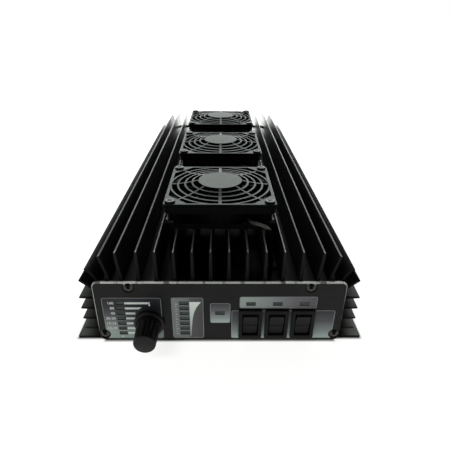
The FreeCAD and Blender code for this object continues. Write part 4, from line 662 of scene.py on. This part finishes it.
def braided_sleeve():
    """Black braid over the fan leads, with a pale painted highlight along its high outer part."""
    pale_x = (0.0195, 0.0290)
    pale_z = (0.0775, 0.0790)
    paint, nodes, shader = new_paint("braided_sleeve", (0.02, 0.02, 0.02), 0.3)
    strands = [wave_of(nodes, 700.0, 0.4, (0, 0, lean)).outputs["Fac"] for lean in (0.7, -0.7)]
    weave = times(nodes, *strands)
    # Painted highlight: the braid is pale only on its high outer part
    wear_and_highlight = times(nodes, spread(nodes, part_of(nodes, "X"), 0, 1, *pale_x),
                 spread(nodes, part_of(nodes, "Z"), 0, 1, *pale_z))
    pale = blend_paint(nodes, wear_and_highlight, (0.001, 0.001, 0.001), (0.36, 0.36, 0.34))
    feed(nodes, shader, "Base Color", blend_paint(nodes, weave, (0.0015, 0.0015, 0.0015), pale))
    feed(nodes, shader, "Roughness", spread(nodes, weave, 0.22, 0.4, 0, 1))
    feed(nodes, shader, "Specular IOR Level", spread(nodes, wear_and_highlight, 0.02, 0.6, 0, 1))
    relief(nodes, shader, weave, 0.00012)
    return paint


def paint_top_light_and_shade(paint, bright, far_share):
    """Painted light and shade: faces that look up, above the guard, keep their colour and shine;
    upright ones and all below the guard are near black and dull.
    """
    guard_height = (0.0895, 0.0905)
    fade_span = (-0.14, 0.11)
    nodes = paint.node_tree
    shader = shader_of(paint)
    shader.inputs["Specular Tint"].default_value = (0.78, 1.0, 0.89, 1)
    # Up-facing faces above the guard's height: painted light
    smooth = times(nodes, spread(nodes, facing(nodes, "Z"), 0, 1, 0.3, 0.9),
                   spread(nodes, part_of(nodes, "Z"), 0, 1, *guard_height))
    fading = spread(nodes, part_of(nodes, "Y"), 1.0, far_share, *fade_span)
    feed(nodes, shader, "Specular IOR Level",
         spread(nodes, times(nodes, smooth, fading), 0.03, bright, 0, 1))
    mottled = shader.inputs["Base Color"].links[0].from_socket
    # Painted shade: everything else is near black
    feed(nodes, shader, "Base Color",
         blend_paint(nodes, smooth, (0.0008, 0.0009, 0.0009), mottled))


# Moulded finishes: dark and light colour, roughness, grain, relief, metal, shine
PAINTS = {
    "black_anodised": anodised_extrusion(),
    "panel_face": panel_paint(),
    "bronze_screw": bronze_screw(),
    "black_steel": moulded(
        "blackened_steel", (0.004, 0.0046, 0.0042), (0.009, 0.0105, 0.0098), (0.26, 0.38),
        1300, 0.00002, 0.0, 0.55),
    "zinc_steel": moulded(
        "zinc_plate", (0.52, 0.52, 0.50), (0.72, 0.72, 0.70), (0.2, 0.38), 1200, 0.00001, 1.0),
    "knob_black": moulded(
        "knob_plastic", (0.0035, 0.0035, 0.0035), (0.006, 0.006, 0.006), (0.40, 0.55),
        1200, 0.00008, 0.0, 0.2),
    "bright_steel": moulded(
        "ground_steel", (0.60, 0.60, 0.60), (0.74, 0.74, 0.73), (0.12, 0.28),
        1500, 0.000008, 1.0, stretch=(1, 0.05, 1)),
    "nickel_brass": moulded(
        "nickel_plate", (0.58, 0.57, 0.53), (0.74, 0.72, 0.66), (0.12, 0.26), 900, 0.00001, 1.0),
    "brass": moulded(
        "brass", (0.60, 0.42, 0.16), (0.74, 0.55, 0.24), (0.18, 0.34), 900, 0.00001, 1.0),
    "white_insulator": moulded(
        "white_insulator", (0.66, 0.65, 0.61), (0.78, 0.77, 0.74), (0.35, 0.5), 900, 0.00001),
    "phenolic": moulded(
        "phenolic", (0.11, 0.045, 0.015), (0.19, 0.085, 0.030), (0.35, 0.55), 700, 0.00003,
        stretch=(1, 4, 1)),
    "switch_body": moulded(
        "switch_plastic", (0.0025, 0.0025, 0.0025), (0.004, 0.004, 0.004), (0.36, 0.50),
        2000, 0.00002, 0.0, 0.1),
    "rocker_black": moulded(
        "rocker_plastic", (0.003, 0.003, 0.003), (0.005, 0.005, 0.005), (0.36, 0.48),
        1800, 0.00002, 0.0, 0.10),
    "fan_black": moulded(
        "fan_plastic", (0.0010, 0.0010, 0.0010), (0.0020, 0.0020, 0.0020), (0.30, 0.42),
        1300, 0.00002, 0.0, 0.03),
    "guard_black": moulded(
        "guard_plastic", (0.0135, 0.0165, 0.015), (0.020, 0.0245, 0.022), (0.28, 0.38),
        1500, 0.00003, 0.0, 0.4),
    "lead_sleeve": braided_sleeve(),
    "copper_winding": wound_copper(),
    "grommet_rubber": moulded(
        "grommet_rubber", (0.008, 0.008, 0.008), (0.014, 0.014, 0.013), (0.55, 0.75),
        1200, 0.00003),
    "board_green": circuit_board(),
    "led_window": moulded(
        "window_lens", ink(44, 54, 50), ink(66, 76, 72), (0.22, 0.34), 900, 0.00004, 0.0, 0.25,
        (1, 1, 2)),
    "ceramic_white": moulded(
        "ceramic_and_gold", (0.62, 0.60, 0.52), (0.74, 0.71, 0.62), (0.28, 0.42), 700, 0.00001),
    "ferrite": moulded(
        "ferrite", (0.020, 0.020, 0.022), (0.036, 0.036, 0.040), (0.42, 0.6), 800, 0.00004),
    "relay_case": moulded(
        "relay_case", (0.035, 0.07, 0.16), (0.05, 0.09, 0.20), (0.24, 0.36), 900, 0.00001),
    "fuse_plastic": moulded(
        "fuse_plastic", (0.008, 0.008, 0.008), (0.013, 0.013, 0.013), (0.35, 0.5),
        1300, 0.00002),
    "fuse_amber": moulded(
        "fuse_amber", (0.42, 0.17, 0.015), (0.55, 0.25, 0.03), (0.12, 0.22), 600, 0.00001),
}
# Fan nuts painted near black with little shine: painted shade where they sit under the fans
SHADED_NUT_PAINT = moulded(
    "nut_painted_shade", (0.002, 0.002, 0.002), (0.006, 0.006, 0.006), (0.18, 0.3), 1200, 0.00001,
    0.0, 0.1)
# Painted light and shade on the guards and on the blackened screws
paint_top_light_and_shade(PAINTS["guard_black"], 0.17, 0.4)
paint_top_light_and_shade(PAINTS["black_steel"], 0.42, 1.0)

WHITE = faded_print("white_ink", "Z", [(0, ink(206, 214, 208)), (50, ink(216, 222, 218))], 0.45)
PALE_LINE = faded_print(
    "pale_line", "Z", [(0, ink(150, 158, 154)), (50, ink(112, 114, 118))], 0.45)
DARK_INK = faded_print("dark_ink", "Z", [(0, ink(38, 44, 42)), (50, ink(30, 32, 36))], 0.4)
# The print of the fields: colours by place in mm
BAND_LEFT = [
    (2.2, ink(150, 164, 158)), (8, ink(152, 162, 158)), (14, ink(136, 142, 140)),
    (20, ink(104, 106, 108)), (25, ink(78, 76, 82)), (31, ink(50, 47, 54)),
    (38.8, ink(38, 36, 42))]
BAND_RIGHT = [
    (2.2, ink(128, 142, 137)), (8, ink(112, 124, 120)), (16, ink(56, 60, 60)),
    (25, ink(24, 24, 28)), (31, ink(14, 14, 18)), (38.8, ink(34, 34, 40))]
BAND_ENDS = (-78, -54)
POWER_STOPS = [
    (-33.8, ink(124, 128, 126)), (-22.0, ink(108, 110, 110)), (-20.5, ink(84, 82, 84)),
    (-11.5, ink(72, 70, 71))]
WARNING_STOPS = [
    (16.5, ink(176, 190, 186)), (21, ink(140, 150, 148)), (27, ink(98, 98, 101)),
    (34.1, ink(58, 56, 59))]
STATUS_STOPS = [
    (13.8, ink(150, 162, 157)), (36, ink(128, 134, 134)), (52, ink(102, 98, 103)),
    (67.8, ink(84, 80, 84))]
SWITCH_STOPS = [
    (2.2, ink(166, 182, 180)), (9, ink(126, 136, 136)), (18, ink(76, 78, 82)),
    (27.7, ink(42, 42, 46))]
HORN_STOPS = [(4.4, ink(150, 164, 158)), (35.2, ink(222, 230, 224))]
POINTER_STOPS = [(0, ink(52, 56, 56)), (50, ink(66, 70, 70))]


def dress_solids():
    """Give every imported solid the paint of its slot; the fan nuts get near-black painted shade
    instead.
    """
    for name, solid in NODES.items():
        paint = SHADED_NUT_PAINT if name == "fan_nuts" else PAINTS[SLOT_OF[name]]
        if not solid.material_slots:
            solid.data.materials.append(paint)
        for place in solid.material_slots:
            place.material = paint


# ---------------------------------------------------------------- printed panel
def field(name, x, z, corner, proud=PRINT, sunk=PRINT_SUNK):
    """A thin plate with round corners on the panel's face."""
    plate = bar(name, x, (FACE_Y - proud, FACE_Y + sunk), z)
    open_up(plate)
    pick(plate, "EDGE", lambda points, _: abs(points[0].y - points[1].y) > proud / 2)
    bpy.ops.mesh.bevel(offset=corner * MM, segments=6, profile=0.5, affect="EDGES")
    close_up()
    return plate


def opening(x, z, width, height):
    """A cutter for a window in the print."""
    return bar("cutter", (x - width / 2, x + width / 2), (FACE_Y - PAST, FACE_Y + PAST),
               (z - height / 2, z + height / 2))


def round_opening(radius, x, z):
    """A cutter for a round hole in the print."""
    return round_bar("cutter", radius, (x, FACE_Y - PAST, z), (x, FACE_Y + PAST, z))


def screw_room(side):
    """A cutter that keeps the print off the lower screw at the left (-1) or right (1)."""
    x, z = SCREWS_LOW
    return round_opening(SCREW_ROOM, side * x, z)


def outline(name, x, z, corner):
    """A thin line round a printed field."""
    outer = field(name, x, z, corner, PRINT + INK)
    inner = field("cutter", (x[0] + OUTLINE, x[1] - OUTLINE), (z[0] + OUTLINE, z[1] - OUTLINE),
                  corner - OUTLINE, PAST, PAST)
    return carve(outer, inner)


def printed(piece, paint):
    """Finish a printed piece."""
    return fit(piece, "root", "panel_face", paint)


def window_frame(x, z, width, height):
    """The dark line round an indicator window."""
    half_x = width / 2 + WINDOW_LINE
    half_z = height / 2 + WINDOW_LINE
    outer = bar("frame", (x - half_x, x + half_x), (FACE_Y - PRINT - INK, FACE_Y + PRINT_SUNK),
                (z - half_z, z + half_z))
    return carve(outer, opening(x, z, width, height))


def print_panel():
    """The printed fields, each with its windows and a line round it, and the windows' frames."""
    # Name, place, windows, side of the lower screw in its corner (0 for none) and paint
    fields = (
        ("band", BAND_FIELD, BAND_WINDOWS, -1,
         two_way_print("band_print", BAND_LEFT, BAND_RIGHT, BAND_ENDS)),
        ("power", POWER_FIELD, POWER_WINDOWS, 0, faded_print("power_print", "X", POWER_STOPS)),
        ("warning", WARNING_FIELD, WARNING_WINDOWS, 0,
         faded_print("warning_print", "Z", WARNING_STOPS)),
        ("status", STATUS_FIELD, STATUS_WINDOWS, 0,
         faded_print("status_print", "X", STATUS_STOPS)),
        ("switch", SWITCH_FIELD, ROCKER_HOLES, 1, faded_print("switch_print", "Z", SWITCH_STOPS)))
    for name, place, windows, screw_side, paint in fields:
        plate = field(name + "_field", *place)
        cutters = [opening(*window) for window in windows]
        if screw_side:
            cutters.append(screw_room(screw_side))
        if name == "band":
            cutters.append(round_opening(KNOB_HOLE_R, KNOB_X, KNOB_Z))
        printed(carve(plate, *cutters), paint)
        line = outline(name + "_outline", *place)
        if screw_side:
            carve(line, screw_room(screw_side))
        printed(line, PALE_LINE)
    windows = BAND_WINDOWS + POWER_WINDOWS + STATUS_WINDOWS + WARNING_WINDOWS
    printed(gather("window_frames", [window_frame(*window) for window in windows]), DARK_INK)


def ink_bar(x, z):
    """A flat bar of ink on a field."""
    return bar("bar", x, (FACE_Y - PRINT - INK, FACE_Y - PRINT + INK_SUNK), z)


def print_bars():
    """White bars from the band windows; one has a slanted end and one a corner."""
    bars = [ink_bar((BAR_START, end), (z - BAR_HALF, z + BAR_HALF))
            for z, end in zip(LED_ZS, BAR_ENDS)]
    slanted = bars[SLANTED_BAR]
    middle_x = (BAR_START + BAR_ENDS[SLANTED_BAR]) / 2
    open_up(slanted)
    pick(slanted, "VERT", lambda point, _: point.x > middle_x and point.z < LED_ZS[SLANTED_BAR])
    bpy.ops.transform.translate(value=mm(SLANT, 0, 0))
    close_up()
    bars.append(ink_bar(*CORNER_BAR))
    printed(gather("band_bars", bars), WHITE)


def print_horn():
    """The horn that widens upward beside the power windows."""
    horn = ink_bar((HORN_X, HORN_TIP), (HORN_EDGE[0][0], HORN_EDGE[-1][0]))
    open_up(horn)
    for height, _ in HORN_EDGE[1:-1]:
        slice_piece((0, 0, height), (0, 0, 1))
    middle_x = (HORN_X + HORN_TIP) / 2
    for height, edge in HORN_EDGE:
        pick(horn, "VERT", lambda point, _: abs(point.z - height) < 0.01 and point.x > middle_x)
        bpy.ops.transform.translate(value=mm(edge - HORN_TIP, 0, 0))
    close_up()
    printed(horn, faded_print("horn_print", "Z", HORN_STOPS))


def print_ticks():
    """Short and long ticks left of the power windows."""
    ticks = []
    for n in range(TICK_COUNT):
        width = TICK_LONG if n % 2 == 0 else TICK_SHORT
        rise = TICK_PITCH * n
        ticks.append(ink_bar((TICK_X, TICK_X + width), (TICK_SPAN[0] + rise, TICK_SPAN[1] + rise)))
    printed(gather("power_ticks", ticks), WHITE)


def print_numbers():
    """Plain numbers beside the band windows; the lowest window has its number under it."""
    places = [(NUMBER_X, z) for z in LED_ZS[:0:-1]] + [LAST_NUMBER]
    made = []
    for text, (x, z) in zip(NUMBERS, places):
        put_down()
        bpy.ops.object.text_add()
        number = bpy.context.object
        number.data.body = text
        number.data.size = (LAST_NUMBER_SIZE if z < LED_ZS[0] else NUMBER_SIZE) * MM
        number.data.extrude = INK * MM / 2
        number.data.align_x = "RIGHT"
        number.data.align_y = "CENTER"
        number.data.offset = NUMBER_WEIGHT * MM
        number.data.resolution_u = 3
        bpy.ops.object.convert(target="MESH")
        number = bpy.context.object
        number.location = mm(x, FACE_Y - PRINT - INK / 2, z)
        number.rotation_euler = (math.pi / 2, 0, 0)
        made.append(settle(number, "number"))
    printed(gather("band_numbers", made), WHITE)


# ---------------------------------------------------------------- knob
def ring_points(piece, y, steps):
    """Pick points of the ring at y whose place in the flute's cycle is in steps."""
    half = FLUTE_TURN / 2

    def test(point, _):
        if abs(point.y - y) > 0.02:
            return False
        angle = math.degrees(math.atan2(point.x - KNOB_X, point.z - KNOB_Z))
        turn = (angle + half) % FLUTE_TURN
        return round(abs(turn - half) / RING_STEP) in steps
    pick(piece, "VERT", test)


def flute_ring(piece, y, depth):
    """Draw the ring at y in to flutes; a depth below 1 sinks them, above 1 lifts them again."""
    centre = mm(KNOB_X, y, KNOB_Z)
    for steps, share in FLUTE_SHARES:
        ring_points(piece, y, steps)
        factor = 1 + (depth - 1) * share
        bpy.ops.transform.resize(value=(factor, 1, factor), center_override=centre)


def pull(piece, y, next_y, factor):
    """Extrude the face at y forward to next_y and resize it."""
    def test(points, normal):
        return (normal.y < -0.9 and all(abs(point.y - y) < 0.02 for point in points)
                and len(points) > RING_SIDES / 2)
    pick(piece, "FACE", test)
    move = {"value": mm(0, next_y - y, 0)}
    bpy.ops.mesh.extrude_region_move(TRANSFORM_OT_translate=move)
    bpy.ops.transform.resize(value=(factor, 1, factor), center_override=mm(KNOB_X, next_y, KNOB_Z))


def make_knob():
    """The grip, pulled ring by ring from the skirt, and the pointer line on it."""
    knob = round_bar("band_knob_grip", KNOB_SKIRT_R, (KNOB_X, KNOB_BACK, KNOB_Z),
                     (KNOB_X, KNOB_SKIRT_Y, KNOB_Z), RING_SIDES)
    open_up(knob)
    y, radius, drawn = KNOB_SKIRT_Y, KNOB_SKIRT_R, 1
    for next_y, next_radius, flute in KNOB_STEPS:
        pull(knob, y, next_y, next_radius / radius)
        if flute != drawn:
            flute_ring(knob, next_y, flute / drawn)
        y, radius, drawn = next_y, next_radius, flute
    close_up()
    line = bar("line", (KNOB_X - POINTER_HALF_W, KNOB_X + POINTER_HALF_W), POINTER_SPAN,
               (KNOB_Z + POINTER_RISE[0], KNOB_Z + POINTER_RISE[1]))
    open_up(line)
    pick(line, "VERT", lambda point, _: point.y < sum(POINTER_SPAN) / 2)
    bpy.ops.transform.translate(value=mm(0, 0, -POINTER_DROP))
    close_up()
    tidy_normals(knob)
    open_back = KNOB_BACK + PAST
    recess = round_bar("cutter", RECESS_R, (KNOB_X, open_back, KNOB_Z),
                       (KNOB_X, KNOB_BACK - RECESS_DEPTH, KNOB_Z), 64)
    bore = round_bar("cutter", BORE_R, (KNOB_X, open_back, KNOB_Z), (KNOB_X, BORE_END, KNOB_Z))
    hole = round_bar("cutter", SET_SCREW_R, (KNOB_X, SET_SCREW_Y, KNOB_Z - 2),
                     (KNOB_X, SET_SCREW_Y, KNOB_Z - 12), 32)
    carve(knob, recess, bore, hole)
    take(knob)
    bpy.ops.object.shade_smooth_by_angle(angle=math.radians(40))
    for piece in (knob, line):
        swing(piece, (KNOB_X, 0, KNOB_Z), KNOB_TURN, "Y")
    fit(knob, "band_knob", "knob_black", PAINTS["knob_black"], "band_knob")
    line.name = "band_knob_pointer"
    fit(line, "band_knob", "panel_face", faded_print("pointer_ink", "Z", POINTER_STOPS))


# ---------------------------------------------------------------- rockers
def hollow_cutter(x, side):
    """A wide drum that hollows the lower (-1) or upper (1) half of a rocker."""
    reach = math.sqrt(HOLLOW_R ** 2 - HOLLOW_HALF ** 2)
    middle_y = VALLEY_Y - HOLLOW_HALF * math.sin(HOLLOW_SLOPE)
    middle_z = ROCKER_Z + side * HOLLOW_HALF * math.cos(HOLLOW_SLOPE)
    axis_y = middle_y - reach * math.cos(HOLLOW_SLOPE)
    axis_z = middle_z - side * reach * math.sin(HOLLOW_SLOPE)
    cutter = round_bar("cutter", HOLLOW_R, (x - 8, axis_y, axis_z), (x + 8, axis_y, axis_z), 256)
    stop = bar("stop", (x - 9, x + 9), (VALLEY_Y - 120, VALLEY_Y + 20),
               (ROCKER_Z - 60, ROCKER_Z) if side > 0 else (ROCKER_Z, ROCKER_Z + 60))
    return carve(cutter, stop)


def make_rocker(x, name):
    """A drum cut to two hollowed halves that meet in a valley, tilted to its resting side."""
    drum = round_bar("drum", DRUM_R, (x - DRUM_HALF_W, PIVOT_Y, ROCKER_Z),
                     (x + DRUM_HALF_W, PIVOT_Y, ROCKER_Z), 96)
    open_up(drum)
    slice_piece((0, PIVOT_Y + DRUM_BACK, 0), (0, 1, 0), use_fill=True, clear_outer=True)
    for step in DRUM_CUTS:
        slice_piece((0, 0, ROCKER_Z + step), (0, 0, 1))
    close_up()
    for side in (-1, 1):
        carve(drum, hollow_cutter(x, side))
    groove_y = VALLEY_Y - 0.1
    carve(drum, round_bar("cutter", GROOVE_R, (x - 8, groove_y, ROCKER_Z),
                          (x + 8, groove_y, ROCKER_Z), 12))
    open_up(drum)
    # The ends are drawn in a little
    for low, high, factor in ((4.0, 6.0, 0.985), (6.0, 20.0, 0.94)):
        pick(drum, "VERT", lambda point, _: low < abs(point.z - ROCKER_Z) < high)
        bpy.ops.transform.resize(value=(factor, 1, 1), center_override=mm(x, PIVOT_Y, ROCKER_Z))
    close_up()
    soften(drum, ROCKER_EDGE, 3, 30)
    swing(drum, (x, PIVOT_Y, ROCKER_Z), ROCKER_REST, "X")
    drum.name = "rocker_face_" + name
    return fit(drum, "rocker_" + name, "rocker_black", PAINTS["rocker_black"], "rocker_" + name)


# ---------------------------------------------------------------- studio
def make_floor():
    """A floor that glows like paper, apart from a thin shadow round the amplifier's foot."""
    base_half = (0.1037, 0.2220)
    panel_half = (0.0830, 0.2245)
    put_down()
    bpy.ops.mesh.primitive_plane_add(size=12, location=(0, 0, 0))
    floor = bpy.context.object
    floor.name = "studio_floor"
    paint, nodes, shader = new_paint("studio_floor", (0.86, 0.86, 0.84), 0.8, 0, 0.2)
    feed(nodes, shader, "Roughness", spread(nodes, grain(nodes, 3.0), 0.78, 0.84))
    shader.inputs["Emission Color"].default_value = (1, 1, 0.99, 1)
    across = from_middle(nodes, "X")
    along = from_middle(nodes, "Y")
    to_base, to_panel = (
        most(nodes, reckon(nodes, "SUBTRACT", across, half_x),
             reckon(nodes, "SUBTRACT", along, half_y))
        for half_x, half_y in (base_half, panel_half))
    gap = reckon(nodes, "MINIMUM", to_base, to_panel)
    feed(nodes, shader, "Emission Strength", spread(nodes, gap, 0.0, 0.82, 0.0002, 0.0022))
    floor.data.materials.append(paint)


def make_sky():
    """White studio walls; their light is bright from behind, dim from the front and above."""
    world = bpy.data.worlds.new("studio")
    bpy.context.scene.world = world
    world.use_nodes = True
    nodes = world.node_tree
    background = nodes.nodes["Background"]
    coordinates = nodes.nodes.new("ShaderNodeTexCoord")
    ahead = part_of(nodes, "Y", coordinates.outputs["Generated"])
    height = part_of(nodes, "Z", coordinates.outputs["Generated"])
    seen = nodes.nodes.new("ShaderNodeLightPath").outputs["Is Camera Ray"]
    tinted = blend_paint(nodes, spread(nodes, height, 0, 1, 0.16, 0.24),
                         (1.0, 1.0, 0.985), (0.84, 1.0, 0.91))
    feed(nodes, background, "Color", blend_paint(nodes, seen, tinted, (1.0, 1.0, 1.0)))
    wall = spread(nodes, ahead, 0.15, 1.2, -0.5, 0.8)
    ceiling = spread(nodes, height, 1.0, 0.65, 0.1, 0.45)
    top = spread(nodes, height, 1.0, 0.1, 0.55, 0.8)
    light = times(nodes, wall, times(nodes, ceiling, top))
    unseen = reckon(nodes, "SUBTRACT", 1.0, seen)
    feed(nodes, background, "Strength", reckon(nodes, "ADD", seen, times(nodes, unseen, light)))


def soft_box(name, place, aim, size, power):
    """A rectangular light, aimed at a place; in metres and watts."""
    light = bpy.data.lights.new(name, "AREA")
    light.shape = "RECTANGLE"
    light.size = size[0]
    light.size_y = size[1]
    light.energy = power
    lamp = bpy.data.objects.new(name, light)
    bpy.context.scene.collection.objects.link(lamp)
    lamp.location = place
    lamp.rotation_euler = (Vector(aim) - Vector(place)).to_track_quat("-Z", "Y").to_euler()


def make_camera():
    """The camera, turned by its yaw, pitch and roll, in radians."""
    yaw, pitch, roll = 0.010531, 0.481593, 0.0067104
    place = mm(0.957, -440.918, 208.554)
    ahead = Vector((math.sin(yaw) * math.cos(pitch), math.cos(yaw) * math.cos(pitch),
                    -math.sin(pitch)))
    right = Vector((math.cos(yaw), -math.sin(yaw), 0))
    up = right.cross(ahead)
    level = math.cos(roll) * right + math.sin(roll) * up
    upright = -math.sin(roll) * right + math.cos(roll) * up
    lens = bpy.data.cameras.new("camera")
    lens.sensor_width = 36.0
    lens.lens = 31.38
    lens.clip_start = 0.01
    lens.clip_end = 50
    camera = bpy.data.objects.new("camera", lens)
    bpy.context.scene.collection.objects.link(camera)
    camera.matrix_world = Matrix((
        (level.x, upright.x, -ahead.x, place[0]), (level.y, upright.y, -ahead.y, place[1]),
        (level.z, upright.z, -ahead.z, place[2]), (0, 0, 0, 1)))
    bpy.context.scene.camera = camera


dress_solids()
print_panel()
print_bars()
print_horn()
print_ticks()
print_numbers()
make_knob()
for rocker_x, rocker_name in zip(ROCKER_XS, ROCKER_NAMES):
    make_rocker(rocker_x, rocker_name)
make_floor()
make_sky()
make_camera()
soft_box("key", (-0.9, -0.9, 1.1), (0, -0.1, 0.03), (0.8, 0.8), 5)
soft_box("rim", (0.2, 1.2, 0.9), (0, 0.1, 0.06), (1.2, 0.5), 7)
soft_box("far", (0.0, 0.62, 0.12), (0, 0.2, 0.07), (0.9, 0.08), 1.0)
bpy.context.scene.view_settings.view_transform = "Standard"
